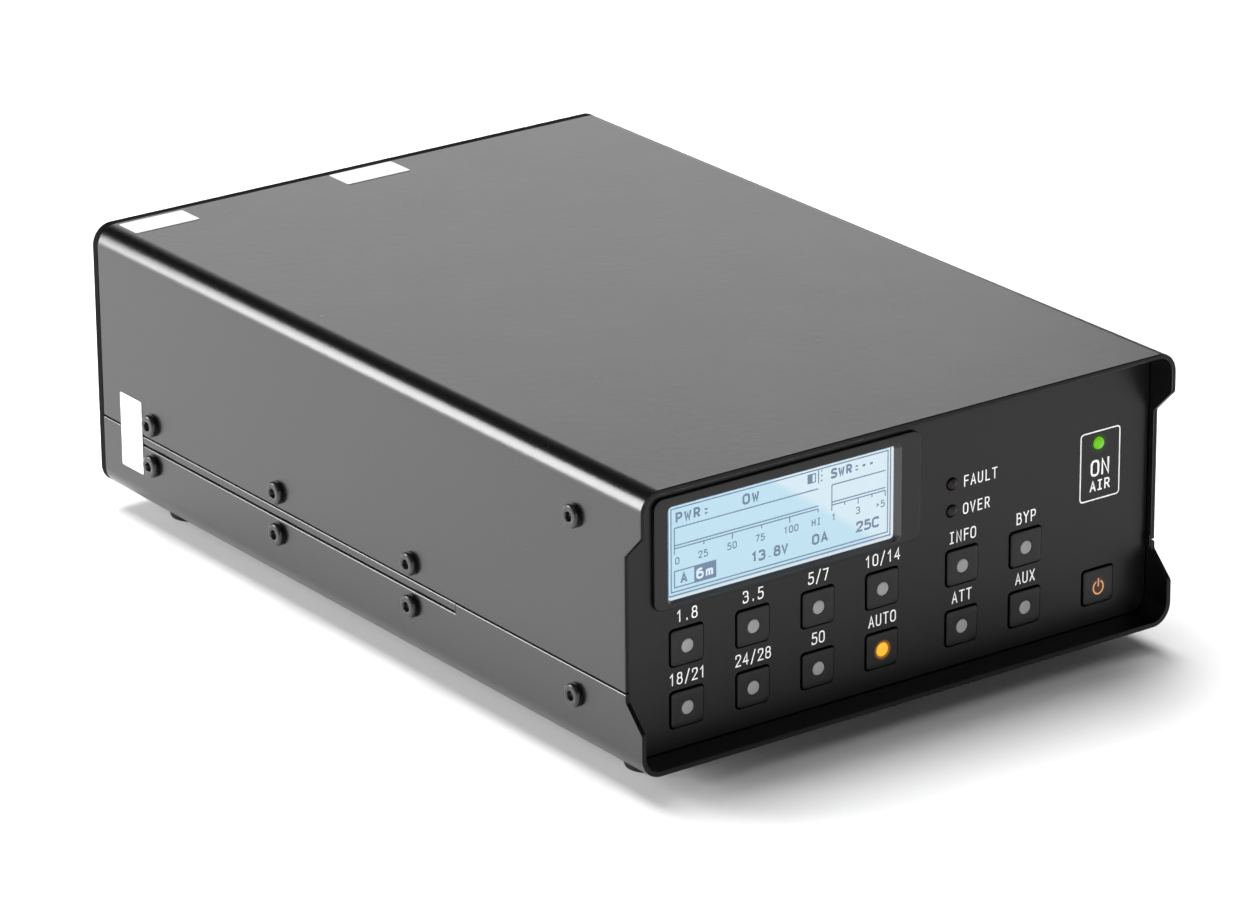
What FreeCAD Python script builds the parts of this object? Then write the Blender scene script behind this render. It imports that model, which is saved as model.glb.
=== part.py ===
import FreeCAD, Part
import Sketcher
import math
import os
import re

# A table-top linear amplifier for short-wave radio, in millimetres.
#
# The model's frame has +Z up and the front towards -Y. Its origin lies on the floor, under the
# middle of the space that the amplifier takes up. Each piece is drawn in the frame of the case,
# where y runs back from the front lip and z runs up from the underside of the lower cover, and the
# piece's placement then puts it on its feet.

# --------------------------------------------------------------------------------------------
# Driving sizes
# --------------------------------------------------------------------------------------------

SIZES = {
    # The case and its two folded covers.
    "case_width": 155.0,
    "case_depth": 230.5,
    "case_height": 68.8,
    "corner_radius": 5.3,
    "cover_thickness": 1.2,
    "seam_height": 19.3,
    "seam_gap": 0.2,
    "fit_gap": 0.15,
    # The front lip and the notch in each of its sides.
    "recess_depth": 8.0,
    "notch_depth": 6.2,
    "notch_top_inset": 10.4,
    "notch_bottom": 11.0,
    "notch_blend": 1.2,
    # The front panel, a tray with a flange down each side.
    "panel_thickness": 2.0,
    "flange_thickness": 1.5,
    "flange_length": 28.0,
    "flange_margin": 6.0,
    # The display and its raised bezel.
    "bezel_side_inset": 8.8,
    "bezel_right_space": 79.3,
    "bezel_bottom": 36.0,
    "bezel_top_inset": 5.8,
    "bezel_radius": 2.5,
    "bezel_proud": 1.0,
    "bezel_overhang": 0.5,
    "bezel_side_slope": 1.0,
    "bezel_top_slope": 0.35,
    "bezel_slope_depth": 1.5,
    "screen_left_frame": 5.4,
    "screen_right_frame": 6.8,
    "screen_lower_frame": 1.5,
    "screen_upper_frame": 2.7,
    "screen_radius": 0.8,
    "window_margin": 0.6,
    "window_thickness": 1.0,
    "module_margin": 3.4,
    "module_thickness": 4.8,
    # The keys: two rows, the band keys in even columns and five function keys beside them.
    "key_left_margin": 9.5,
    "key_right_margin": 10.4,
    "band_column_count": 4,
    "key_upper_row": 26.0,
    "key_lower_row": 10.9,
    "info_side_inset": 57.4,
    "bypass_side_inset": 38.4,
    "power_side_inset": 16.1,
    "key_width": 9.1,
    "key_height": 8.7,
    "key_radius": 0.8,
    "key_gap": 0.3,
    "key_proud": 0.5,
    "key_travel": 0.4,
    "key_rim_gap": 0.2,
    "key_rim_thickness": 1.0,
    "key_rim_margin": 0.7,
    "guide_radius": 1.7,
    "guide_proud": 0.05,
    "guide_running_gap": 0.08,
    # The indicator lamps.
    "lamp_radius": 1.5,
    "lamp_proud": 0.8,
    "lamp_hole_gap": 0.1,
    "lamp_collar": 0.4,
    "lamp_collar_length": 1.0,
    "fault_side_inset": 60.55,
    "fault_top_inset": 21.9,
    "overdrive_top_inset": 28.6,
    "on_air_side_inset": 16.45,
    # The control board behind the front panel, and the switches on it.
    "board_thickness": 1.6,
    "board_gap": 6.5,
    "board_margin": 3.0,
    "post_radius": 2.5,
    "post_inset": 5.5,
    "post_edge": 6.5,
    "post_hole_radius": 1.3,
    "switch_width": 6.0,
    "switch_height": 3.5,
    "switch_well": 1.6,
    # The heat sink, which fills the seam at the sides with its rib.
    "sink_length": 140.7,
    "sink_end_margin": 16.5,
    "sink_wall": 7.0,
    "sink_bottom": 6.0,
    "sink_top": 28.0,
    "sink_base": 6.0,
    "rib_height": 2.2,
    "rib_gap": 0.15,
    "fin_count": 15,
    "fin_thickness": 1.8,
    # The boards on the heat sink and what they carry.
    "amplifier_board_start": 6.0,
    "amplifier_board_length": 74.0,
    "upper_board_margin": 2.5,
    "transistor_spacing": 44.0,
    "transistor_place": 30.0,
    "transistor_length": 24.0,
    "transistor_width": 9.8,
    "transistor_flange": 1.6,
    "transistor_body_length": 12.0,
    "transistor_body_height": 3.4,
    "transistor_gap": 0.4,
    "transformer_width": 34.0,
    "transformer_length": 26.0,
    "transformer_height": 17.0,
    "transformer_bore": 4.2,
    "transformer_bore_spacing": 16.0,
    "transformer_place": 56.0,
    "filter_board_gap": 4.0,
    "filter_board_lift": 5.0,
    "coil_count": 6,
    "coil_end_margin": 16.65,
    "coil_radius": 8.0,
    "coil_bore": 4.0,
    "coil_width": 6.0,
    "coil_place": 14.0,
    "relay_count": 7,
    "relay_end_margin": 12.65,
    "relay_length": 15.0,
    "relay_width": 7.5,
    "relay_height": 10.5,
    "relay_place": 36.0,
    "relay_chamfer": 0.6,
    # The rear panel, with a flange along its top and its bottom.
    "rear_thickness": 2.0,
    "rear_gap": 0.1,
    "rear_flange_length": 12.0,
    "rear_flange_margin": 14.0,
    "grille_inner": 6.0,
    "grille_ring": 3.9,
    "grille_bar": 1.4,
    "grille_spoke": 2.4,
    # The fan.
    "fan_size": 50.0,
    "fan_depth": 10.0,
    "fan_corner": 3.0,
    "fan_duct_radius": 23.6,
    "fan_hole_spacing": 40.0,
    "fan_spider": 2.0,
    "fan_spoke_width": 3.0,
    "fan_boss_radius": 10.0,
    "bearing_radius": 3.5,
    "bearing_length": 5.0,
    "shaft_radius": 1.5,
    "shaft_gap": 0.05,
    "hub_radius": 11.0,
    "hub_wall": 1.2,
    "hub_running_gap": 0.6,
    "hub_length": 6.6,
    "blade_count": 7,
    "blade_tip_gap": 0.7,
    "blade_thickness": 1.1,
    "blade_root_chord": 8.4,
    "blade_tip_chord": 13.0,
    "blade_depth": 5.4,
    "blade_tip_depth": 4.4,
    # The radio sockets.
    "socket_side_inset": 25.5,
    "antenna_height_ratio": 0.712,
    "input_height_ratio": 0.291,
    "socket_flange": 25.4,
    "socket_flange_thickness": 2.0,
    "socket_hole_spacing": 18.2,
    "socket_hole_radius": 1.6,
    "socket_barrel_radius": 7.9,
    "socket_reach": 13.5,
    "socket_cavity_radius": 6.2,
    "socket_insert_length": 5.0,
    "socket_neck_radius": 5.2,
    "socket_neck_length": 8.0,
    "contact_bore": 2.0,
    "contact_wall": 0.6,
    "contact_length": 17.0,
    "contact_reach": 5.5,
    # The power inlet.
    "inlet_side_inset": 25.5,
    "inlet_top_inset": 19.8,
    "inlet_width": 24.0,
    "inlet_tall": 15.0,
    "inlet_wall": 2.0,
    "inlet_lip": 3.0,
    "inlet_lip_thickness": 1.5,
    "inlet_reach": 9.0,
    "inlet_cavity": 15.0,
    "inlet_floor": 3.0,
    "inlet_pin_radius": 1.6,
    "inlet_pin_spacing": 9.6,
    "inlet_pin_length": 10.0,
    "inlet_tail": 4.0,
    "inlet_tail_radius": 2.0,
    # The control jacks and the earth terminal.
    "jack_side_inset": 33.5,
    "jack_spacing": 14.0,
    "jack_height": 20.0,
    "jack_bore": 1.8,
    "jack_bush_radius": 3.9,
    "jack_bush_reach": 3.2,
    "jack_nut_radius": 5.2,
    "jack_nut_thickness": 1.8,
    "jack_body": 9.6,
    "jack_body_length": 11.0,
    "jack_bore_length": 13.0,
    "earth_fan_gap": 9.0,
    "earth_height": 10.5,
    "earth_stud_radius": 2.0,
    "earth_reach": 11.0,
    "earth_nut_width": 7.0,
    "earth_nut_thickness": 3.2,
    "earth_inner_length": 5.0,
    # The screws.
    "screw_radius": 1.45,
    "screw_length": 6.5,
    "screw_head_radius": 2.85,
    "screw_head_height": 1.5,
    "screw_head_edge": 0.6,
    "screw_socket_width": 2.0,
    "screw_socket_depth": 0.9,
    "screw_hole_gap": 0.25,
    "thread_gap": 0.05,
    "front_screw_place": 25.5,
    "front_screw_top_inset": 12.7,
    "sink_screw_inset": 18.2,
    "sink_screw_pitch": 57.0,
    "sink_screw_count": 3,
    "upper_screw_height": 23.3,
    "lower_screw_height": 12.6,
    "rear_screw_lower": 10.0,
    "rear_screw_upper": 24.0,
    # The feet.
    "foot_height": 6.05,
    "foot_radius": 6.1,
    "foot_tip_radius": 5.2,
    "foot_well_radius": 3.3,
    "foot_well_depth": 3.05,
    "foot_side_inset": 14.7,
    "foot_end_inset": 18.3,
    # The air slots under the heat sink's front end.
    "slot_count": 11,
    "slot_pitch": 9.0,
    "slot_width": 3.0,
    "slot_length": 32.0,
    "slot_lead": 33.3,
    # The blank stickers.
    "sticker_thickness": 0.12,
    "sticker_radius": 1.0,
    "corner_sticker_side_inset": 5.5,
    "corner_sticker_width": 18.5,
    "corner_sticker_end_margin": 3.7,
    "corner_sticker_length": 8.4,
    "middle_sticker_left": 9.1,
    "middle_sticker_width": 18.9,
    "middle_sticker_end_margin": 2.9,
    "middle_sticker_length": 9.0,
    "side_sticker_end_margin": 10.5,
    "side_sticker_length": 10.0,
    "side_sticker_bottom": 8.8,
    "side_sticker_height": 19.3,
}

# Places that follow from the driving sizes.
PLACES = {
    "half_width": "case_width / 2",
    "front_offset": "-(case_depth + socket_reach) / 2",
    "inner_half_width": "half_width - cover_thickness",
    "inner_top": "case_height - cover_thickness",
    "inner_radius": "corner_radius - cover_thickness",
    "cover_depth": "case_depth - rear_thickness - rear_gap",
    "rear_inner": "case_depth - rear_thickness",
    "notch_top": "case_height - notch_top_inset",
    "panel_face": "recess_depth",
    "panel_back": "recess_depth + panel_thickness",
    "panel_half_width": "inner_half_width - fit_gap",
    "board_face": "panel_back + board_gap",
    "switch_face": "board_face - switch_height",
    "bezel_left": "half_width - bezel_side_inset",
    "bezel_width": "case_width - bezel_right_space",
    "bezel_height": "case_height - bezel_bottom - bezel_top_inset",
    "screen_left": "bezel_left - screen_left_frame",
    "screen_width": "bezel_width - screen_left_frame - screen_right_frame",
    "screen_bottom": "bezel_bottom + screen_lower_frame",
    "screen_height": "bezel_height - screen_lower_frame - screen_upper_frame",
    "key_first_column": "bezel_left - key_left_margin",
    "key_pitch": "(bezel_width - key_left_margin - key_right_margin) / (band_column_count - 1)",
    "info_column": "half_width - info_side_inset",
    "bypass_column": "half_width - bypass_side_inset",
    "power_column": "half_width - power_side_inset",
    "fault_column": "half_width - fault_side_inset",
    "on_air_column": "half_width - on_air_side_inset",
    "fault_height": "case_height - fault_top_inset",
    "overdrive_height": "case_height - overdrive_top_inset",
    "window_face": "panel_face - bezel_proud + bezel_slope_depth",
    "window_back": "window_face + window_thickness",
    "clear_hole": "screw_radius + screw_hole_gap",
    "tapped_hole": "screw_radius + thread_gap",
    "front_screw_height": "case_height - front_screw_top_inset",
    "sink_end": "case_depth - sink_end_margin",
    "sink_start": "sink_end - sink_length",
    "sink_screw_first": "sink_start + sink_screw_inset",
    "slot_start": "sink_start - slot_lead",
    "sink_half_width": "inner_half_width - fit_gap",
    "wall_inner": "sink_half_width - sink_wall",
    "rib_top": "seam_height - rib_gap",
    "fin_spacing": "2 * wall_inner / (fin_count + 1)",
    "amplifier_board_place": "sink_start + amplifier_board_start",
    "filter_board_place": "amplifier_board_place + amplifier_board_length + filter_board_gap",
    "filter_board_bottom": "sink_top + filter_board_lift",
    "filter_board_top": "filter_board_bottom + board_thickness",
    "filter_board_end": "sink_end - upper_board_margin",
    "board_half_width": "sink_half_width - sink_wall - upper_board_margin",
    "coil_pitch": "2 * (board_half_width - coil_end_margin) / (coil_count - 1)",
    "relay_pitch": "2 * (board_half_width - relay_end_margin) / (relay_count - 1)",
    "socket_column": "half_width - socket_side_inset",
    "antenna_height": "case_height * antenna_height_ratio",
    "input_height": "case_height * input_height_ratio",
    "inlet_column": "half_width - inlet_side_inset",
    "inlet_height": "case_height - inlet_top_inset",
    "jack_column": "half_width - jack_side_inset",
    "earth_column": "fan_size / 2 + earth_fan_gap",
    "fan_height": "case_height / 2",
    "fan_front": "rear_inner - fit_gap - fan_depth",
    "hub_front": "fan_spider + hub_running_gap",
    "control_half_width": "panel_half_width - flange_thickness - fit_gap",
    "post_column": "control_half_width - post_inset / 2",
    "post_bottom": "post_edge",
    "post_top": "case_height - post_edge",
    "foot_front": "foot_end_inset",
    "foot_back": "case_depth - foot_end_inset",
    "corner_sticker_left": "half_width - corner_sticker_side_inset",
    "corner_sticker_start": "case_depth - corner_sticker_end_margin - corner_sticker_length",
    "middle_sticker_start": "case_depth - middle_sticker_end_margin - middle_sticker_length",
    "side_sticker_start": "case_depth - side_sticker_end_margin - side_sticker_length",
}

document = FreeCAD.newDocument("LinearAmplifier")
sheet = document.addObject("Spreadsheet::Sheet", "Sizes")


def fill_sheet():
    """Write each driving size as a plain number, and each place as a sum of sizes."""
    rows = list(SIZES.items())
    rows += [(name, "=" + text) for name, text in PLACES.items()]
    for row, (name, content) in enumerate(rows, start=1):
        sheet.set(f"A{row}", name)
        sheet.set(f"B{row}", str(content))
        sheet.setAlias(f"B{row}", name)
    document.recompute()


def formula(text):
    """Point each size named in the text at its cell in the sheet."""

    def cell(word):
        """Give the cell of one word, or the word itself when it is no size."""
        name = word.group()
        return f"Sizes.{name}" if name in SIZES or name in PLACES else name

    return re.sub(r"[a-z][a-z_]+", cell, str(text))


def value(text):
    """Work out a sum of sizes as a number."""
    result = sheet.evalExpression(formula(text))
    return float(getattr(result, "Value", result))


def bind(thing, name, text):
    """Tie one property of a feature to a sum of sizes."""
    thing.setExpression(name, formula(text))


# --------------------------------------------------------------------------------------------
# Drawing tools
# --------------------------------------------------------------------------------------------

# Whether the sketches on each origin plane face the plus or the minus end of its axis.
FACING = {"XY_Plane": 1, "XZ_Plane": -1, "YZ_Plane": 1}

# Two places closer than this are the same, in millimetres.
SAME_PLACE = 1e-4

AXIS_Y = FreeCAD.Vector(0, 1, 0)
AXIS_Z = FreeCAD.Vector(0, 0, 1)

# The ways that a screw's head can face; it is drawn with its head to the left.
HEAD_LEFT = FreeCAD.Rotation()
HEAD_RIGHT = FreeCAD.Rotation(AXIS_Z, 180)
HEAD_BACK = FreeCAD.Rotation(AXIS_Z, -90)
HEAD_DOWN = FreeCAD.Rotation(AXIS_Y, -90)


def origin_feature(body, role):
    """Find a plane or an axis of the body's own origin."""
    return next(item for item in body.Origin.OriginFeatures if item.Role == role)


def template(label):
    """Start a body that is drawn once, and copied to where it is needed."""
    body = document.addObject("PartDesign::Body", label)
    body.Label = label
    return body


def place(thing, x="0", y="0", z="0"):
    """Put a piece at x, y, z of the case, which stands on its feet."""
    bind(thing, "Placement.Base.x", x)
    bind(thing, "Placement.Base.y", f"front_offset + ({y})")
    bind(thing, "Placement.Base.z", f"foot_height + ({z})")


def piece(label, x="0", y="0", z="0"):
    """Start a body whose own origin stands at x, y, z of the case."""
    body = template(label)
    place(body, x, y, z)
    return body


def sketch_on(body, role, offset="0"):
    """Open a sketch on an origin plane of the body, moved along the axis by the offset."""
    sketch = body.newObject("Sketcher::SketchObject", "Sketch")
    sketch.AttachmentSupport = [(origin_feature(body, role), "")]
    sketch.MapMode = "FlatFace"
    sign = "" if FACING[role] > 0 else "-"
    bind(sketch, "AttachmentOffset.Base.z", f"{sign}({offset})")
    return sketch


def pinned(geometry, position, x, y):
    """List what holds a point of a sketch at x, y from the sketch's origin."""
    return [
        (Sketcher.Constraint(kind, geometry, position, value(text)), text)
        for kind, text in (("DistanceX", x), ("DistanceY", y))
    ]


def rounded(geometry, radius):
    """List what ties the radius of a circle or an arc to a size."""
    return [(Sketcher.Constraint("Radius", geometry, value(radius)), radius)]


def joined(*constraints):
    """List constraints that have no size of their own."""
    return [(constraint, None) for constraint in constraints]


def hold(sketch, entries):
    """Add the constraints to the sketch together, and bind those that have a size."""
    first = sketch.ConstraintCount
    sketch.addConstraint([constraint for constraint, text in entries])
    for index, (constraint, text) in enumerate(entries, start=first):
        if text is not None:
            bind(sketch, f"Constraints[{index}]", text)


def circle(sketch, x, y, radius):
    """Draw a circle about x, y."""
    centre = FreeCAD.Vector(value(x), value(y), 0)
    index = sketch.addGeometry(Part.Circle(centre, AXIS_Z, value(radius)))
    hold(sketch, pinned(index, 3, x, y) + rounded(index, radius))


def outline(sketch, corners):
    """Draw straight sides round the corners, and round each corner that names a radius."""
    count = len(corners)
    points = [FreeCAD.Vector(value(corner[0]), value(corner[1]), 0) for corner in corners]
    radii = [value(corner[2]) if len(corner) > 2 else 0 for corner in corners]
    aims = [(points[(at + 1) % count] - points[at]).normalize() for at in range(count)]
    halves = [(-aims[at - 1]).getAngle(aims[at]) / 2 for at in range(count)]
    setbacks = [radii[at] / math.tan(halves[at]) for at in range(count)]
    shapes = []
    for at in range(count):
        after = (at + 1) % count
        start = points[at] + aims[at] * setbacks[at]
        end = points[after] - aims[at] * setbacks[after]
        shapes.append(Part.LineSegment(start, end))
    sides = sketch.addGeometry(shapes)
    entries = []
    for at, corner in enumerate(corners):
        before = sides[at - 1]
        if radii[at] == 0:
            entries += joined(Sketcher.Constraint("Coincident", before, 2, sides[at], 1))
            entries += pinned(sides[at], 1, corner[0], corner[1])
            continue
        inward = (aims[at] - aims[at - 1]).normalize()
        centre = points[at] + inward * (radii[at] / math.sin(halves[at]))
        first = points[at] - aims[at - 1] * setbacks[at] - centre
        last = points[at] + aims[at] * setbacks[at] - centre
        turns_left = aims[at - 1].cross(aims[at]).z > 0
        if not turns_left:
            first, last = last, first
        begin = math.atan2(first.y, first.x)
        finish = math.atan2(last.y, last.x)
        if finish < begin:
            finish += 2 * math.pi
        arc = sketch.addGeometry(Part.ArcOfCircle(Part.Circle(centre, AXIS_Z, radii[at]), begin, finish))
        knuckle = sketch.addGeometry(Part.Point(points[at]), True)
        entry, leave = (1, 2) if turns_left else (2, 1)
        entries += joined(
            Sketcher.Constraint("Tangent", before, 2, arc, entry),
            Sketcher.Constraint("Tangent", arc, leave, sides[at], 1),
            Sketcher.Constraint("PointOnObject", knuckle, 1, before),
            Sketcher.Constraint("PointOnObject", knuckle, 1, sides[at]),
        )
        entries += rounded(arc, corner[2])
        entries += pinned(knuckle, 1, corner[0], corner[1])
    hold(sketch, entries)


def rectangle(sketch, left, right, low, high, radius=None):
    """Draw a rectangle between two uprights and two levels, with its corners rounded if asked."""
    tail = () if radius is None else (radius,)
    outline(sketch, [(left, low) + tail, (right, low) + tail, (right, high) + tail, (left, high) + tail])


def centred(sketch, width, height, radius=None):
    """Draw a rectangle about the sketch's origin."""
    rectangle(sketch, f"-({width}) / 2", f"({width}) / 2", f"-({height}) / 2", f"({height}) / 2", radius)


def pad(body, sketch, length, towards=1, both=False):
    """Raise a sketch into a solid, towards the plus or the minus end of its axis, or both ways."""
    feature = body.newObject("PartDesign::Pad", "Pad")
    feature.Profile = sketch
    bind(feature, "Length", length)
    role = sketch.AttachmentSupport[0][0].Role
    feature.Reversed = FACING[role] * towards < 0
    if both:
        feature.SideType = "Symmetric"
    return feature


def cut(body, sketch, depth=None, towards=1, both=False):
    """Cut a sketch out of the body, to a depth or right through."""
    feature = body.newObject("PartDesign::Pocket", "Pocket")
    feature.Profile = sketch
    role = sketch.AttachmentSupport[0][0].Role
    feature.Reversed = FACING[role] * towards > 0
    if both:
        feature.SideType = "Two sides"
        feature.Type2 = "ThroughAll"
    if depth is None:
        feature.Type = "ThroughAll"
    else:
        bind(feature, "Length", depth)
    return feature


def turn(body, sketch, role):
    """Turn a sketch round an axis of the body's origin."""
    feature = body.newObject("PartDesign::Revolution", "Revolution")
    feature.Profile = sketch
    feature.ReferenceAxis = (origin_feature(body, role), [""])
    feature.Angle = 360
    return feature


def ring_pattern(body, originals, role, count):
    """Repeat features round an axis of the body's origin."""
    feature = body.newObject("PartDesign::PolarPattern", "PolarPattern")
    feature.Originals = originals
    feature.Axis = (origin_feature(body, role), [""])
    feature.Angle = 360
    bind(feature, "Occurrences", count)
    body.Tip = feature
    return feature


def row_pattern(body, originals, role, pitch, count):
    """Repeat features in a straight row along an axis of the body's origin."""
    feature = body.newObject("PartDesign::LinearPattern", "LinearPattern")
    feature.Originals = originals
    feature.Direction = (origin_feature(body, role), [""])
    bind(feature, "Length", f"({pitch}) * ({count} - 1)")
    bind(feature, "Occurrences", count)
    body.Tip = feature
    return feature


def edge_names(feature, test):
    """Name the edges of a feature that pass a test."""
    document.recompute()
    return [f"Edge{at}" for at, edge in enumerate(feature.Shape.Edges, start=1) if test(edge)]


def soften(body, feature, test, size, kind="Fillet"):
    """Fillet or chamfer the edges of a feature that pass a test."""
    names = edge_names(feature, test)
    dressing = body.newObject(f"PartDesign::{kind}", kind)
    dressing.Base = (feature, names)
    bind(dressing, "Radius" if kind == "Fillet" else "Size", size)
    return dressing


def copies(label, source, places, rotations=None):
    """Gather copies of a body, each at its own place, as one group of separate solids."""
    links = []
    for at, (x, y, z) in enumerate(places):
        link = document.addObject("App::Link", f"{label}_copy")
        link.LinkedObject = source
        if rotations:
            link.Placement = FreeCAD.Placement(FreeCAD.Vector(), rotations[at])
        place(link, x, y, z)
        links.append(link)
    return gather(label, links)


def gather(label, members):
    """Gather several solids as one group."""
    group = document.addObject("Part::Compound", label)
    group.Label = label
    group.Links = members
    return group


def along(edge, axis):
    """Tell whether an edge is straight along an axis, given as 0, 1 or 2."""
    if not isinstance(edge.Curve, Part.Line):
        return False
    return abs(abs(edge.Curve.Direction[axis]) - 1) < SAME_PLACE


def touches(edge, axis, text):
    """Tell whether the middle of an edge lies at a place on an axis."""
    return abs(edge.CenterOfMass[axis] - value(text)) < SAME_PLACE


def square_corners(spacing):
    """List the corners of a square of holes about a sketch's origin."""
    return [(f"{side} * {spacing} / 2", f"{level} * {spacing} / 2") for side in (-1, 1) for level in (-1, 1)]


# The side screws: the front pair holds the front panel, the others the heat sink.
LOWER_SCREWS = [("front_screw_place", "lower_screw_height")]
UPPER_SCREWS = [("front_screw_place", "front_screw_height")]
SINK_PLACES = [f"sink_screw_first + {at} * sink_screw_pitch" for at in range(SIZES["sink_screw_count"])]
LOWER_SCREWS += [(place_y, "lower_screw_height") for place_y in SINK_PLACES]
UPPER_SCREWS += [(place_y, "upper_screw_height") for place_y in SINK_PLACES]

FOOT_PLACES = [
    (f"{side} * (half_width - foot_side_inset)", end)
    for side in (-1, 1)
    for end in ("foot_front", "foot_back")
]

BAND_COLUMNS = [f"-key_first_column + {at} * key_pitch" for at in range(SIZES["band_column_count"])]
KEYS = {
    "1_8": (BAND_COLUMNS[0], "key_upper_row"),
    "3_5": (BAND_COLUMNS[1], "key_upper_row"),
    "5_7": (BAND_COLUMNS[2], "key_upper_row"),
    "10_14": (BAND_COLUMNS[3], "key_upper_row"),
    "18_21": (BAND_COLUMNS[0], "key_lower_row"),
    "24_28": (BAND_COLUMNS[1], "key_lower_row"),
    "50": (BAND_COLUMNS[2], "key_lower_row"),
    "auto": (BAND_COLUMNS[3], "key_lower_row"),
    "info": ("info_column", "key_upper_row"),
    "attenuator": ("info_column", "key_lower_row"),
    "bypass": ("bypass_column", "key_upper_row"),
    "auxiliary": ("bypass_column", "key_lower_row"),
    "power": ("power_column", "key_lower_row"),
}

LAMPS = {
    "fault": ("fault_column", "fault_height"),
    "overdrive": ("fault_column", "overdrive_height"),
    "on_air": ("on_air_column", "fault_height"),
}

SOCKETS = {
    "antenna_socket": ("-socket_column", "antenna_height"),
    "rf_input_socket": ("-socket_column", "input_height"),
}

# The rear screws hold the panel to the sink's walls, and the sockets and the fan to the panel.
SINK_END_SCREWS = [
    (f"{side} * (sink_half_width - sink_wall / 2)", level)
    for side in (-1, 1)
    for level in ("rear_screw_lower", "rear_screw_upper")
]
REAR_SCREWS = [(screw_x, "case_depth", screw_z) for screw_x, screw_z in SINK_END_SCREWS]
REAR_SCREWS += [
    (f"{socket_x} + {corner_x}", "case_depth + socket_flange_thickness", f"{socket_z} + {corner_z}")
    for socket_x, socket_z in SOCKETS.values()
    for corner_x, corner_z in square_corners("socket_hole_spacing")
]
REAR_SCREWS += [
    (corner_x, "case_depth", f"fan_height + {corner_z}")
    for corner_x, corner_z in square_corners("fan_hole_spacing")
]

JACKS = [(f"jack_column + {at} * jack_spacing", "jack_height") for at in range(2)]

POSTS = [(f"{side} * post_column", level) for side in (-1, 1) for level in ("post_bottom", "post_top")]


# --------------------------------------------------------------------------------------------
# The covers
# --------------------------------------------------------------------------------------------

def hollow_cover(body, side_outline, level, low, high):
    """Fold a cover: its side outline across the width, rounded long edges, and the hollow inside."""
    side = sketch_on(body, "YZ_Plane")
    outline(side, side_outline)
    block = pad(body, side, "case_width", both=True)

    def is_long_edge(edge):
        """Pick the two long edges at the cover's flat side."""
        return along(edge, 1) and touches(edge, 2, level) and abs(edge.CenterOfMass.x) > 1

    soften(body, block, is_long_edge, "corner_radius")
    hollow = sketch_on(body, "XZ_Plane")
    rectangle(hollow, "-inner_half_width", "inner_half_width", low, high, "inner_radius")
    cut(body, hollow)


def side_holes(body, holes, radius):
    """Drill the same holes through both sides of a piece."""
    drill = sketch_on(body, "YZ_Plane")
    for hole_y, hole_z in holes:
        circle(drill, hole_y, hole_z, radius)
    cut(body, drill, both=True)


def build_upper_cover():
    """Make the upper cover: a U of sheet, open below, with notched sides at its front."""
    body = piece("upper_cover")
    hollow_cover(body, [
        ("notch_depth", "seam_height"),
        ("cover_depth", "seam_height"),
        ("cover_depth", "case_height"),
        ("0", "case_height"),
        ("0", "notch_top", "notch_blend"),
        ("notch_depth", "notch_top - notch_depth", "notch_blend"),
    ], "case_height", "seam_height - corner_radius * 2", "inner_top")
    side_holes(body, UPPER_SCREWS, "clear_hole")


def build_lower_cover():
    """Make the lower cover: a shallow U with a rebate for the sink's rib, feet holes and slots."""
    body = piece("lower_cover")
    cover_top = "seam_height - seam_gap"
    rebate = "rib_top - rib_height - rib_gap"
    hollow_cover(body, [
        ("0", "0"),
        ("cover_depth", "0"),
        ("cover_depth", cover_top),
        ("sink_end + rib_gap", cover_top),
        ("sink_end + rib_gap", rebate),
        ("sink_start - rib_gap", rebate),
        ("sink_start - rib_gap", cover_top),
        ("notch_depth", cover_top),
        ("notch_depth", "notch_bottom + notch_depth", "notch_blend"),
        ("0", "notch_bottom", "notch_blend"),
    ], "0", "cover_thickness", "seam_height + corner_radius * 2")
    side_holes(body, LOWER_SCREWS, "clear_hole")
    floor = sketch_on(body, "XY_Plane")
    for hole_x, hole_y in FOOT_PLACES:
        circle(floor, hole_x, hole_y, "clear_hole")
    cut(body, floor, "corner_radius", towards=1)
    slot = sketch_on(body, "XY_Plane")
    first = "-slot_pitch * (slot_count - 1) / 2"
    rectangle(slot, f"{first} - slot_width / 2", f"{first} + slot_width / 2",
              "slot_start", "slot_start + slot_length", "slot_width / 2.01")
    opening = cut(body, slot, "corner_radius", towards=1)
    row_pattern(body, [opening], "X_Axis", "slot_pitch", "slot_count")


# --------------------------------------------------------------------------------------------
# The front panel, the display and the lamps
# --------------------------------------------------------------------------------------------

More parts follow.
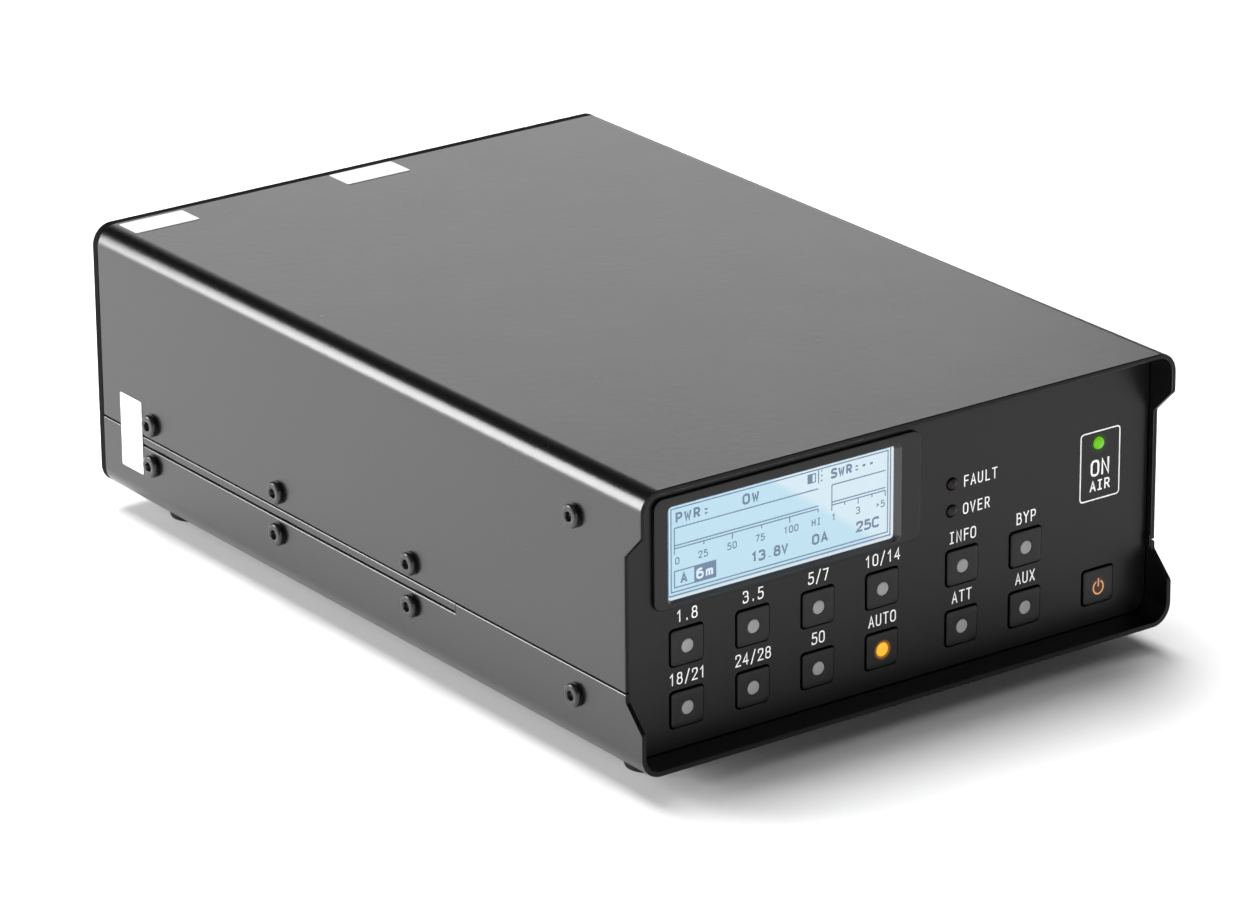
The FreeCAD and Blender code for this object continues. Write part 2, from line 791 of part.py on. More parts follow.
def build_front_panel():
    """Make the recessed front panel, a tray whose side flanges take the front screws."""
    body = piece("front_panel")
    plate = sketch_on(body, "XZ_Plane", "panel_face")
    rectangle(plate, "-panel_half_width", "panel_half_width",
              "cover_thickness + fit_gap", "inner_top - fit_gap", "inner_radius")
    pad(body, plate, "panel_thickness")
    for side in (-1, 1):
        flange = sketch_on(body, "XZ_Plane", "panel_back")
        inner = f"{side} * (panel_half_width - flange_thickness)"
        outer = f"{side} * panel_half_width"
        left, right = (outer, inner) if side < 0 else (inner, outer)
        rectangle(flange, left, right, "corner_radius + flange_margin / 4", "inner_top - flange_margin")
        pad(body, flange, "flange_length - panel_thickness")
    display = sketch_on(body, "XZ_Plane", "panel_face")
    bezel_rectangle(display, "bezel_overhang - fit_gap", "bezel_radius")
    cut(body, display)
    for key_x, key_z in KEYS.values():
        hole = sketch_on(body, "XZ_Plane", "panel_face")
        rectangle(hole, f"{key_x} - key_width / 2 - key_gap", f"{key_x} + key_width / 2 + key_gap",
                  f"{key_z} - key_height / 2 - key_gap", f"{key_z} + key_height / 2 + key_gap",
                  "key_radius + key_gap")
        cut(body, hole)
    lamps = sketch_on(body, "XZ_Plane", "panel_face")
    for lamp_x, lamp_z in LAMPS.values():
        circle(lamps, lamp_x, lamp_z, "lamp_radius + lamp_hole_gap")
    cut(body, lamps)
    side_holes(body, [LOWER_SCREWS[0], UPPER_SCREWS[0]], "tapped_hole")


def bezel_rectangle(sketch, inset, radius):
    """Draw the bezel's outline, drawn in by an inset."""
    rectangle(sketch, f"-bezel_left + {inset}", f"-bezel_left + bezel_width - ({inset})",
              f"bezel_bottom + {inset}", f"bezel_bottom + bezel_height - ({inset})", radius)


def screen_rectangle(sketch, side_margin, top_margin, radius):
    """Draw the screen's outline, widened at the sides and at the top and bottom."""
    rectangle(sketch, f"-screen_left - ({side_margin})", f"-screen_left + screen_width + {side_margin}",
              f"screen_bottom - ({top_margin})", f"screen_bottom + screen_height + {top_margin}", radius)


def build_display():
    """Make the moulded bezel with its sloped opening, the window in it, and the display module."""
    bezel = piece("display_bezel")
    face = sketch_on(bezel, "XZ_Plane", "panel_face - bezel_proud")
    bezel_rectangle(face, "0", "bezel_radius")
    pad(bezel, face, "bezel_proud - fit_gap / 3")
    neck = sketch_on(bezel, "XZ_Plane", "panel_face - fit_gap / 3")
    bezel_rectangle(neck, "bezel_overhang", "bezel_radius")
    pad(bezel, neck, "panel_thickness + fit_gap / 3")
    wide = sketch_on(bezel, "XZ_Plane", "panel_face - bezel_proud")
    screen_rectangle(wide, "bezel_side_slope", "bezel_top_slope", "screen_radius")
    narrow = sketch_on(bezel, "XZ_Plane", "window_face")
    screen_rectangle(narrow, "0", "0", "screen_radius")
    slope = bezel.newObject("PartDesign::SubtractiveLoft", "Slope")
    slope.Profile = wide
    slope.Sections = [narrow]
    slope.Ruled = True
    seat = sketch_on(bezel, "XZ_Plane", "window_face")
    screen_rectangle(seat, "window_margin", "window_margin", "screen_radius")
    cut(bezel, seat)

    window = piece("display_window")
    sheet_outline = sketch_on(window, "XZ_Plane", "window_face + fit_gap / 3")
    screen_rectangle(sheet_outline, "window_margin - fit_gap", "window_margin - fit_gap", "screen_radius")
    pad(window, sheet_outline, "window_thickness - fit_gap / 3")

    module = piece("lcd_module")
    glass = sketch_on(module, "XZ_Plane", "window_back + fit_gap / 3")
    screen_rectangle(glass, "window_margin - fit_gap", "window_margin - fit_gap", "screen_radius")
    pad(module, glass, "panel_back - window_back")
    carrier = sketch_on(module, "XZ_Plane", "panel_back + fit_gap / 3")
    screen_rectangle(carrier, "module_margin", "module_margin", "screen_radius")
    pad(module, carrier, "module_thickness")


def build_lamps():
    """Turn each lamp: a domed lens with a collar, on a spacer that stands on the control board."""
    for name, (lamp_x, lamp_z) in LAMPS.items():
        body = piece(f"led_{name}", lamp_x, "panel_face", lamp_z)
        half = sketch_on(body, "YZ_Plane")
        base = "panel_thickness + lamp_collar_length"
        outline(half, [
            ("-lamp_proud", "0"),
            ("panel_thickness + board_gap", "0"),
            ("panel_thickness + board_gap", "lamp_radius"),
            (f"{base} + lamp_collar_length", "lamp_radius"),
            (f"{base} + lamp_collar_length", "lamp_radius + lamp_collar"),
            (base, "lamp_radius + lamp_collar"),
            (base, "lamp_radius"),
            ("-lamp_proud", "lamp_radius", "lamp_proud"),
        ])
        turn(body, half, "Y_Axis")


# --------------------------------------------------------------------------------------------
# The keys, the control board and its switches
# --------------------------------------------------------------------------------------------

def key_rectangle(sketch, margin, radius):
    """Draw the key's outline, widened all round by a margin."""
    centred(sketch, f"key_width + 2 * ({margin})", f"key_height + 2 * ({margin})", radius)


def build_key(name, key_x, key_z):
    """Make one key: a cap with a retaining rim, and the light guide that works the switch."""
    cap = piece(f"key_cap_{name}", key_x, "panel_face", key_z)
    face = sketch_on(cap, "XZ_Plane", "-key_proud")
    key_rectangle(face, "0", "key_radius")
    pad(cap, face, "key_proud + panel_thickness + key_rim_gap")
    rim = sketch_on(cap, "XZ_Plane", "panel_thickness + key_rim_gap")
    key_rectangle(rim, "key_gap + key_rim_margin", "key_radius")
    pad(cap, rim, "key_rim_thickness")
    stem_end = "panel_thickness + board_gap - switch_height + switch_well - key_travel - key_rim_gap"
    if name == "power":
        stem = sketch_on(cap, "XZ_Plane", "panel_thickness")
        circle(stem, "0", "0", "guide_radius")
        pad(cap, stem, f"{stem_end} - panel_thickness")
        return
    bore = sketch_on(cap, "XZ_Plane", "-key_proud")
    circle(bore, "0", "0", "guide_radius")
    cut(cap, bore)
    guide = piece(f"light_guide_{name}", key_x, "panel_face", key_z)
    rod = sketch_on(guide, "XZ_Plane", "-key_proud - guide_proud")
    circle(rod, "0", "0", "guide_radius")
    pad(guide, rod, f"{stem_end} + key_proud + guide_proud")


def build_control_board():
    """Make the control board, the posts that carry both boards, and the switch behind each key."""
    board = piece("control_board")
    plate = sketch_on(board, "XZ_Plane", "board_face")
    rectangle(plate, "-control_half_width", "control_half_width",
              "cover_thickness + board_margin", "inner_top - board_margin", "board_margin")
    for post_x, post_z in POSTS:
        circle(plate, post_x, post_z, "post_hole_radius")
    pad(board, plate, "board_thickness")

    switch = template("switch_form")
    case = sketch_on(switch, "XZ_Plane")
    centred(case, "switch_width", "switch_width")
    pad(switch, case, "switch_height")
    well = sketch_on(switch, "XZ_Plane")
    circle(well, "0", "0", "guide_radius + guide_running_gap")
    cut(switch, well, "switch_well")
    places = [(key_x, "switch_face", key_z) for key_x, key_z in KEYS.values()]
    copies("tact_switches", switch, places)

    post = template("post_form")
    ring = sketch_on(post, "XZ_Plane")
    circle(ring, "0", "0", "post_radius")
    circle(ring, "0", "0", "post_hole_radius")
    pad(post, ring, "board_gap")
    front_posts = copies("front_posts", post, [(x, "panel_back", z) for x, z in POSTS])
    pillar = template("pillar_form")
    ring = sketch_on(pillar, "XY_Plane")
    circle(ring, "0", "0", "post_radius")
    circle(ring, "0", "0", "post_hole_radius")
    pad(pillar, ring, "filter_board_lift")
    corners = [
        (f"{side} * (board_half_width - post_inset)", end, "sink_top")
        for side in (-1, 1)
        for end in ("filter_board_place + post_inset", "filter_board_end - post_inset")
    ]
    gather("board_standoffs", [front_posts, copies("sink_posts", pillar, corners)])
    return corners


# --------------------------------------------------------------------------------------------
# The heat sink and the boards on it
# --------------------------------------------------------------------------------------------

def build_heat_sink():
    """Make the extruded heat sink: side walls, a flush rib on each, a base plate and its fins."""
    body = piece("heat_sink")
    base_bottom = "sink_top - sink_base"
    section = sketch_on(body, "XZ_Plane", "sink_start")
    outline(section, [
        ("-sink_half_width", "sink_bottom"),
        ("-wall_inner", "sink_bottom"),
        ("-wall_inner", base_bottom),
        ("wall_inner", base_bottom),
        ("wall_inner", "sink_bottom"),
        ("sink_half_width", "sink_bottom"),
        ("sink_half_width", "rib_top - rib_height"),
        ("half_width", "rib_top - rib_height"),
        ("half_width", "rib_top"),
        ("sink_half_width", "rib_top"),
        ("sink_half_width", "sink_top"),
        ("-sink_half_width", "sink_top"),
        ("-sink_half_width", "rib_top"),
        ("-half_width", "rib_top"),
        ("-half_width", "rib_top - rib_height"),
        ("-sink_half_width", "rib_top - rib_height"),
    ])
    pad(body, section, "sink_end - sink_start")
    fin = sketch_on(body, "XZ_Plane", "sink_start")
    first = "-wall_inner + fin_spacing"
    rectangle(fin, f"{first} - fin_thickness / 2", f"{first} + fin_thickness / 2",
              "sink_bottom", f"{base_bottom} + fin_thickness")
    row = pad(body, fin, "sink_end - sink_start")
    row_pattern(body, [row], "X_Axis", "fin_spacing", "fin_count")
    for side in (-1, 1):
        wall = sketch_on(body, "XZ_Plane", "sink_end")
        near = f"{side} * wall_inner"
        far = f"{side} * sink_half_width"
        left, right = (far, near) if side < 0 else (near, far)
        rectangle(wall, left, right, "sink_bottom", "sink_top")
        pad(body, wall, "rear_inner - fit_gap - sink_end")
    side_holes(body, LOWER_SCREWS[1:] + UPPER_SCREWS[1:], "tapped_hole")
    ends = sketch_on(body, "XZ_Plane", "rear_inner")
    for screw_x, screw_z in SINK_END_SCREWS:
        circle(ends, screw_x, screw_z, "tapped_hole")
    cut(body, ends, "screw_length + fit_gap", towards=-1)


def build_amplifier_board():
    """Make the amplifier board, its pair of power transistors and its output transformer."""
    board = piece("amplifier_board", "0", "amplifier_board_place", "sink_top")
    plate = sketch_on(board, "XY_Plane")
    rectangle(plate, "-board_half_width", "board_half_width", "0", "amplifier_board_length")
    pad(board, plate, "board_thickness")
    seats = [f"{side} * transistor_spacing / 2" for side in (-1, 1)]
    window = sketch_on(board, "XY_Plane")
    for seat_x in seats:
        rectangle(window, f"{seat_x} - transistor_length / 2 - transistor_gap",
                  f"{seat_x} + transistor_length / 2 + transistor_gap",
                  "transistor_place - transistor_width / 2 - transistor_gap",
                  "transistor_place + transistor_width / 2 + transistor_gap")
    cut(board, window)

    transistor = template("transistor_form")
    flange = sketch_on(transistor, "XY_Plane")
    centred(flange, "transistor_length", "transistor_width", "transistor_width / 8")
    pad(transistor, flange, "transistor_flange")
    lid = sketch_on(transistor, "XY_Plane", "transistor_flange")
    centred(lid, "transistor_body_length", "transistor_width")
    pad(transistor, lid, "transistor_body_height")
    spots = [(seat_x, "amplifier_board_place + transistor_place", "sink_top") for seat_x in seats]
    copies("power_transistors", transistor, spots)

    core = piece("output_transformer", "0", "amplifier_board_place + transformer_place",
                 "sink_top + board_thickness")
    block = sketch_on(core, "XZ_Plane", "-transformer_length / 2")
    rectangle(block, "-transformer_width / 2", "transformer_width / 2", "0", "transformer_height",
              "transformer_height / 3")
    for side in (-1, 1):
        circle(block, f"{side} * transformer_bore_spacing / 2", "transformer_height / 2", "transformer_bore")
    pad(core, block, "transformer_length")


def build_filter_board(pillars):
    """Make the filter board with its row of toroid coils and its row of band relays."""
    board = piece("filter_board")
    plate = sketch_on(board, "XY_Plane", "filter_board_bottom")
    rectangle(plate, "-board_half_width", "board_half_width", "filter_board_place", "filter_board_end")
    for pillar_x, pillar_y, level in pillars:
        circle(plate, pillar_x, pillar_y, "post_hole_radius")
    pad(board, plate, "board_thickness")

    coil = template("coil_form")
    ring = sketch_on(coil, "YZ_Plane")
    circle(ring, "0", "0", "coil_radius")
    circle(ring, "0", "0", "coil_bore")
    pad(coil, ring, "coil_width", both=True)
    row = [
        (f"({at} - (coil_count - 1) / 2) * coil_pitch", "filter_board_place + coil_place",
         "filter_board_top + coil_radius")
        for at in range(SIZES["coil_count"])
    ]
    copies("toroid_coils", coil, row)

    relay = template("relay_form")
    case = sketch_on(relay, "XY_Plane")
    centred(case, "relay_length", "relay_width")
    block = pad(relay, case, "relay_height")

    def is_top_edge(edge):
        """Pick the edges round the relay's top."""
        return touches(edge, 2, "relay_height")

    soften(relay, block, is_top_edge, "relay_chamfer", "Chamfer")
    row = [
        (f"({at} - (relay_count - 1) / 2) * relay_pitch", "filter_board_place + relay_place",
         "filter_board_top")
        for at in range(SIZES["relay_count"])
    ]
    copies("band_relays", relay, row)


# --------------------------------------------------------------------------------------------
# The rear panel and the fan
# --------------------------------------------------------------------------------------------

def grille_sector(body, inner, outer):
    """Cut one quarter of a ring of the fan grille, between two of its spokes."""
    sketch = sketch_on(body, "XZ_Plane", "rear_inner")
    small = value(inner)
    large = value(outer)
    half_bar = value("grille_spoke / 2")
    ends = []
    for radius in (small, large):
        reach = math.sqrt(radius * radius - half_bar * half_bar)
        ends.append((FreeCAD.Vector(reach, half_bar, 0), FreeCAD.Vector(half_bar, reach, 0)))
    arcs = []
    for radius, (low, high) in zip((small, large), ends):
        ring = Part.Circle(FreeCAD.Vector(), AXIS_Z, radius)
        arc = Part.ArcOfCircle(ring, math.atan2(low.y, low.x), math.atan2(high.y, high.x))
        arcs.append(sketch.addGeometry(arc))
    level = sketch.addGeometry(Part.LineSegment(ends[0][0], ends[1][0]))
    upright = sketch.addGeometry(Part.LineSegment(ends[0][1], ends[1][1]))
    origin = -1
    hold(sketch, joined(
        Sketcher.Constraint("Coincident", arcs[0], 3, origin, 1),
        Sketcher.Constraint("Coincident", arcs[1], 3, origin, 1),
        Sketcher.Constraint("Coincident", level, 1, arcs[0], 1),
        Sketcher.Constraint("Coincident", level, 2, arcs[1], 1),
        Sketcher.Constraint("Coincident", upright, 1, arcs[0], 2),
        Sketcher.Constraint("Coincident", upright, 2, arcs[1], 2),
        Sketcher.Constraint("Horizontal", level),
        Sketcher.Constraint("Vertical", upright),
    ) + rounded(arcs[0], inner) + rounded(arcs[1], outer) + [
        (Sketcher.Constraint("DistanceY", level, 1, half_bar), "grille_spoke / 2"),
        (Sketcher.Constraint("DistanceX", upright, 1, half_bar), "grille_spoke / 2"),
    ])
    return cut(body, sketch)


def build_rear_panel():
    """Make the rear panel: a plate with two folded flanges, a fan grille and the cut-outs."""
    body = piece("rear_panel", "0", "0", "fan_height")
    plate = sketch_on(body, "XZ_Plane", "rear_inner")
    rectangle(plate, "-half_width", "half_width", "-fan_height", "case_height - fan_height",
              "corner_radius")
    pad(body, plate, "rear_thickness")
    low = "cover_thickness + fit_gap - fan_height"
    high = "inner_top - fit_gap - fan_height"
    for bottom, top in ((low, f"{low} + flange_thickness"), (f"{high} - flange_thickness", high)):
        flange = sketch_on(body, "XZ_Plane", "rear_inner")
        rectangle(flange, "-half_width + rear_flange_margin", "half_width - rear_flange_margin", bottom, top)
        pad(body, flange, "rear_flange_length", towards=-1)
    rings = []
    for at in range(GRILLE_RINGS):
        inner = f"grille_inner + {at} * (grille_ring + grille_bar)"
        rings.append(grille_sector(body, inner, f"{inner} + grille_ring"))
    ring_pattern(body, rings, "Y_Axis", str(GRILLE_SPOKES))
    holes = sketch_on(body, "XZ_Plane", "rear_inner")
    for socket_x, socket_z in SOCKETS.values():
        circle(holes, socket_x, f"{socket_z} - fan_height", "socket_neck_radius + fit_gap")
    for jack_x, jack_z in JACKS:
        circle(holes, jack_x, f"{jack_z} - fan_height", "jack_bush_radius + fit_gap")
    circle(holes, "earth_column", "earth_height - fan_height", "earth_stud_radius + fit_gap")
    for screw_x, screw_y, screw_z in REAR_SCREWS:
        circle(holes, screw_x, f"{screw_z} - fan_height", "clear_hole")
    cut(body, holes)
    inlet = sketch_on(body, "XZ_Plane", "rear_inner")
    rectangle(inlet, "inlet_column - inlet_width / 2 - fit_gap", "inlet_column + inlet_width / 2 + fit_gap",
              "inlet_height - inlet_tall / 2 - fit_gap - fan_height",
              "inlet_height + inlet_tall / 2 + fit_gap - fan_height")
    cut(body, inlet)


GRILLE_RINGS = 3
GRILLE_SPOKES = 4


def build_fan_frame():
    """Make the fan's frame: a square duct, corner holes, and a spider with the rotor's bearing."""
    body = piece("fan_frame", "0", "fan_front", "fan_height")
    square = sketch_on(body, "XZ_Plane")
    centred(square, "fan_size", "fan_size", "fan_corner")
    circle(square, "0", "0", "fan_duct_radius")
    for corner_x, corner_z in square_corners("fan_hole_spacing"):
        circle(square, corner_x, corner_z, "tapped_hole")
    pad(body, square, "fan_depth")
    spoke = sketch_on(body, "XZ_Plane")
    rectangle(spoke, "0", "fan_duct_radius + fan_spoke_width / 4",
              "-fan_spoke_width / 2", "fan_spoke_width / 2")
    arm = pad(body, spoke, "fan_spider")
    ring_pattern(body, [arm], "Y_Axis", str(GRILLE_SPOKES))
    boss = sketch_on(body, "XZ_Plane")
    circle(boss, "0", "0", "fan_boss_radius")
    pad(body, boss, "fan_spider")
    tube = sketch_on(body, "XZ_Plane", "fan_spider / 2")
    circle(tube, "0", "0", "bearing_radius")
    pad(body, tube, "fan_spider / 2 + bearing_length")
    bore = sketch_on(body, "XZ_Plane")
    circle(bore, "0", "0", "shaft_radius + shaft_gap")
    cut(body, bore)


def blade_section(body, reach, chord, depth):
    """Draw a blade's slanted section, as it is cut at a reach from the rotor's axis."""
    section = sketch_on(body, "YZ_Plane", reach)
    front = "hub_front + (hub_length - blade_depth) / 2"
    outline(section, [
        (front, f"-({chord}) / 2"),
        (f"{front} + blade_thickness", f"-({chord}) / 2"),
        (f"{front} + {depth}", f"({chord}) / 2"),
        (f"{front} + {depth} - blade_thickness", f"({chord}) / 2"),
    ])
    return section


def build_fan_rotor():
    """Make the rotor: a cup over the bearing tube, a shaft in it, and a ring of twisted blades."""
    body = piece("fan_rotor", "0", "fan_front", "fan_height")
    cup = sketch_on(body, "YZ_Plane")
    back = "hub_front + hub_length"
    outline(cup, [
        ("fan_spider / 4", "0"),
        (back, "0"),
        (back, "hub_radius", "hub_wall"),
        ("hub_front", "hub_radius"),
        ("hub_front", "hub_radius - hub_wall"),
        (f"{back} - hub_wall", "hub_radius - hub_wall"),
        (f"{back} - hub_wall", "shaft_radius"),
        ("fan_spider / 4", "shaft_radius"),
    ])
    turn(body, cup, "Y_Axis")
    root = blade_section(body, "hub_radius - hub_wall / 2", "blade_root_chord", "blade_depth")
    tip = blade_section(body, "fan_duct_radius", "blade_tip_chord", "blade_tip_depth")
    blade = body.newObject("PartDesign::AdditiveLoft", "Blade")
    blade.Profile = root
    blade.Sections = [tip]
    blade.Ruled = True
    ring_pattern(body, [blade], "Y_Axis", "blade_count")
    rim = sketch_on(body, "XZ_Plane")
    circle(rim, "0", "0", "fan_duct_radius - blade_tip_gap")
    circle(rim, "0", "0", "fan_duct_radius + blade_tip_chord")
    trim = cut(body, rim)
    # Merging the neighbouring faces would turn the twisted blades inside out.
    trim.Refine = False


# --------------------------------------------------------------------------------------------
# The sockets on the rear panel
# --------------------------------------------------------------------------------------------

def build_sockets():
    """Make the two radio sockets with their insulators and their contacts."""
    for name, (socket_x, socket_z) in SOCKETS.items():
        body = piece(name, socket_x, "case_depth", socket_z)
        flange = sketch_on(body, "XZ_Plane")
        centred(flange, "socket_flange", "socket_flange", "socket_hole_radius")
        for corner_x, corner_z in square_corners("socket_hole_spacing"):
            circle(flange, corner_x, corner_z, "socket_hole_radius")
        pad(body, flange, "socket_flange_thickness")
        barrel = sketch_on(body, "XZ_Plane")
        circle(barrel, "0", "0", "socket_barrel_radius")
        pad(body, barrel, "socket_reach")
        neck = sketch_on(body, "XZ_Plane")
        circle(neck, "0", "0", "socket_neck_radius")
        pad(body, neck, "socket_neck_length", towards=-1)
        cavity = sketch_on(body, "XZ_Plane", "socket_flange_thickness")
        circle(cavity, "0", "0", "socket_cavity_radius")
        cut(body, cavity, "socket_reach - socket_flange_thickness")
        throat = sketch_on(body, "XZ_Plane", "-socket_neck_length")
        circle(throat, "0", "0", "socket_neck_radius - socket_hole_radius")
        cut(body, throat, "socket_neck_length + socket_flange_thickness")

    insert = template("insulator_form")
    half = sketch_on(insert, "YZ_Plane")
    seat = "socket_flange_thickness + fit_gap"
    outline(half, [
        ("-socket_neck_length", "contact_bore + contact_wall"),
        (f"{seat} + socket_insert_length", "contact_bore + contact_wall"),
        (f"{seat} + socket_insert_length", "socket_cavity_radius - fit_gap"),
        (seat, "socket_cavity_radius - fit_gap"),
        (seat, "socket_neck_radius - socket_hole_radius - fit_gap"),
        ("-socket_neck_length", "socket_neck_radius - socket_hole_radius - fit_gap"),
    ])
    turn(insert, half, "Y_Axis")
    spots = [(socket_x, "case_depth", socket_z) for socket_x, socket_z in SOCKETS.values()]
    copies("socket_insulators", insert, spots)

    contact = template("contact_form")
    mouth = "socket_flange_thickness + socket_insert_length + fit_gap"
    tube = sketch_on(contact, "XZ_Plane", mouth)
    circle(tube, "0", "0", "contact_bore + contact_wall")
    pad(contact, tube, "contact_length", towards=-1)
    bore = sketch_on(contact, "XZ_Plane", mouth)
    circle(bore, "0", "0", "contact_bore")
    cut(contact, bore, "contact_length - contact_reach", towards=-1)
    copies("socket_contacts", contact, spots)


def build_inlet():
    """Make the power inlet: a shrouded housing and its two recessed pins."""
    housing = piece("dc_inlet", "inlet_column", "case_depth", "inlet_height")
    shroud = sketch_on(housing, "XZ_Plane", "inlet_reach")
    centred(shroud, "inlet_width", "inlet_tall", "inlet_wall")
    pad(housing, shroud, "inlet_cavity + inlet_floor", towards=-1)
    lip = sketch_on(housing, "XZ_Plane")
    centred(lip, "inlet_width + 2 * inlet_lip", "inlet_tall + 2 * inlet_lip", "inlet_wall")
    pad(housing, lip, "inlet_lip_thickness")
    cavity = sketch_on(housing, "XZ_Plane", "inlet_reach")
    centred(cavity, "inlet_width - 2 * inlet_wall", "inlet_tall - 2 * inlet_wall", "inlet_wall / 2")
    cut(housing, cavity, "inlet_cavity", towards=-1)
    holes = sketch_on(housing, "XZ_Plane", "inlet_reach")
    for side in (-1, 1):
        circle(holes, f"{side} * inlet_pin_spacing / 2", "0", "inlet_tail_radius")
    cut(housing, holes, towards=-1)

    pin = template("pin_form")
    rod = sketch_on(pin, "XZ_Plane", "inlet_pin_length")
    circle(rod, "0", "0", "inlet_pin_radius")
    shaft = pad(pin, rod, "inlet_pin_length", towards=-1)

    def is_tip(edge):
        """Pick the edge round the pin's tip."""
        return touches(edge, 1, "inlet_pin_length")

    soften(pin, shaft, is_tip, "inlet_pin_radius / 3", "Chamfer")
    tail = sketch_on(pin, "XZ_Plane")
    circle(tail, "0", "0", "inlet_tail_radius")
    pad(pin, tail, "inlet_floor + inlet_tail", towards=-1)
    floor = "case_depth + inlet_reach - inlet_cavity"
    copies("dc_inlet_pins", pin, [
        (f"inlet_column + {side} * inlet_pin_spacing / 2", floor, "inlet_height") for side in (-1, 1)
    ])


def hexagon(sketch, width):
    """Draw a hexagon about the sketch's origin, a given width across its flats."""
    corners = []
    for at in range(6):
        corners.append((f"({width}) / sqrt(3) * cos({60 * at})", f"({width}) / sqrt(3) * sin({60 * at})"))
    outline(sketch, corners)


def build_terminals():
    """Make the two control jacks and the earth terminal."""
    jack = template("jack_form")
    case = sketch_on(jack, "XZ_Plane", "-rear_thickness - fit_gap")
    centred(case, "jack_body", "jack_body")
    pad(jack, case, "jack_body_length", towards=-1)
    bush = sketch_on(jack, "XZ_Plane", "-rear_thickness - fit_gap")
    circle(bush, "0", "0", "jack_bush_radius")
    pad(jack, bush, "rear_thickness + fit_gap + jack_bush_reach")
    nut = sketch_on(jack, "XZ_Plane", "fit_gap / 3")
    circle(nut, "0", "0", "jack_nut_radius")
    pad(jack, nut, "jack_nut_thickness")
    bore = sketch_on(jack, "XZ_Plane", "jack_bush_reach")
    circle(bore, "0", "0", "jack_bore")
    cut(jack, bore, "jack_bore_length", towards=-1)
    copies("control_jacks", jack, [(jack_x, "case_depth", jack_z) for jack_x, jack_z in JACKS])

    earth = piece("earth_terminal", "earth_column", "case_depth", "earth_height")
    stud = sketch_on(earth, "XZ_Plane", "-rear_thickness - earth_inner_length")
    circle(stud, "0", "0", "earth_stud_radius")
    pad(earth, stud, "rear_thickness + earth_inner_length + earth_reach")
    for start in ("fit_gap / 3", "-rear_thickness - fit_gap / 3 - earth_nut_thickness"):
        nut = sketch_on(earth, "XZ_Plane", start)
        hexagon(nut, "earth_nut_width")
        pad(earth, nut, "earth_nut_thickness")


# --------------------------------------------------------------------------------------------
# Screws, feet and stickers
# --------------------------------------------------------------------------------------------

def build_screws():
    """Turn the button-head screw once, and put it at the sides, the rear and the feet."""
    screw = template("screw_form")
    half = sketch_on(screw, "XZ_Plane")
    outline(half, [
        ("-screw_head_height", "0"),
        ("screw_length", "0"),
        ("screw_length", "screw_radius"),
        ("0", "screw_radius"),
        ("0", "screw_head_radius"),
        ("-screw_head_edge", "screw_head_radius"),
        ("-screw_head_height", "screw_head_radius - screw_head_edge"),
    ])
    turn(screw, half, "X_Axis")
    socket = sketch_on(screw, "YZ_Plane", "-screw_head_height")
    hexagon(socket, "screw_socket_width")
    cut(screw, socket, "screw_socket_depth")

    places = []
    rotations = []
    for side, rotation in ((-1, HEAD_LEFT), (1, HEAD_RIGHT)):
        for screw_y, screw_z in LOWER_SCREWS + UPPER_SCREWS:
            places.append((f"{side} * half_width", screw_y, screw_z))
            rotations.append(rotation)
    copies("case_screws", screw, places, rotations)

    copies("rear_panel_screws", screw, REAR_SCREWS, [HEAD_BACK] * len(REAR_SCREWS))
    under = [(foot_x, foot_y, "foot_well_depth - foot_height") for foot_x, foot_y in FOOT_PLACES]
    copies("foot_screws", screw, under, [HEAD_DOWN] * len(under))


def build_feet():
    """Turn the tapered rubber foot, with its well for a screw, and put one at each corner."""
    foot = template("foot_form")
    half = sketch_on(foot, "XZ_Plane")
    outline(half, [
        ("foot_well_radius", "-foot_height"),
        ("foot_tip_radius", "-foot_height", "foot_well_radius / 4"),
        ("foot_radius", "0"),
        ("clear_hole", "0"),
        ("clear_hole", "foot_well_depth - foot_height"),
        ("foot_well_radius", "foot_well_depth - foot_height"),
    ])
    turn(foot, half, "Z_Axis")
    copies("feet", foot, [(foot_x, foot_y, "0") for foot_x, foot_y in FOOT_PLACES])


def build_stickers():
    """Make the three blank stickers: two on top at the back, one low on the left side."""
    top = template("top_sticker_form")
    for name in ("corner_sticker", "middle_sticker"):
        patch = sketch_on(top, "XY_Plane")
        rectangle(patch, f"-{name}_left", f"-{name}_left + {name}_width",
                  f"{name}_start", f"{name}_start + {name}_length", "sticker_radius")
        pad(top, patch, "sticker_thickness")
    side = template("side_sticker_form")
    patch = sketch_on(side, "YZ_Plane")
    rectangle(patch, "side_sticker_start", "side_sticker_start + side_sticker_length",
              "side_sticker_bottom", "side_sticker_bottom + side_sticker_height", "sticker_radius")
    pad(side, patch, "sticker_thickness", towards=-1)
    place(top, "0", "0", "case_height")
    place(side, "-half_width")
    gather("stickers", [top, side])


# --------------------------------------------------------------------------------------------
# Building, checking and writing
# --------------------------------------------------------------------------------------------

def pieces():
    """List the sub-parts: every body and group that isn't only copied or gathered into another."""
    kinds = ("PartDesign::Body", "Part::Compound")
    listed = [item for item in document.Objects if item.TypeId in kinds]
    return [item for item in listed if not item.Label.endswith("_form") and not item.Label.endswith("posts")]


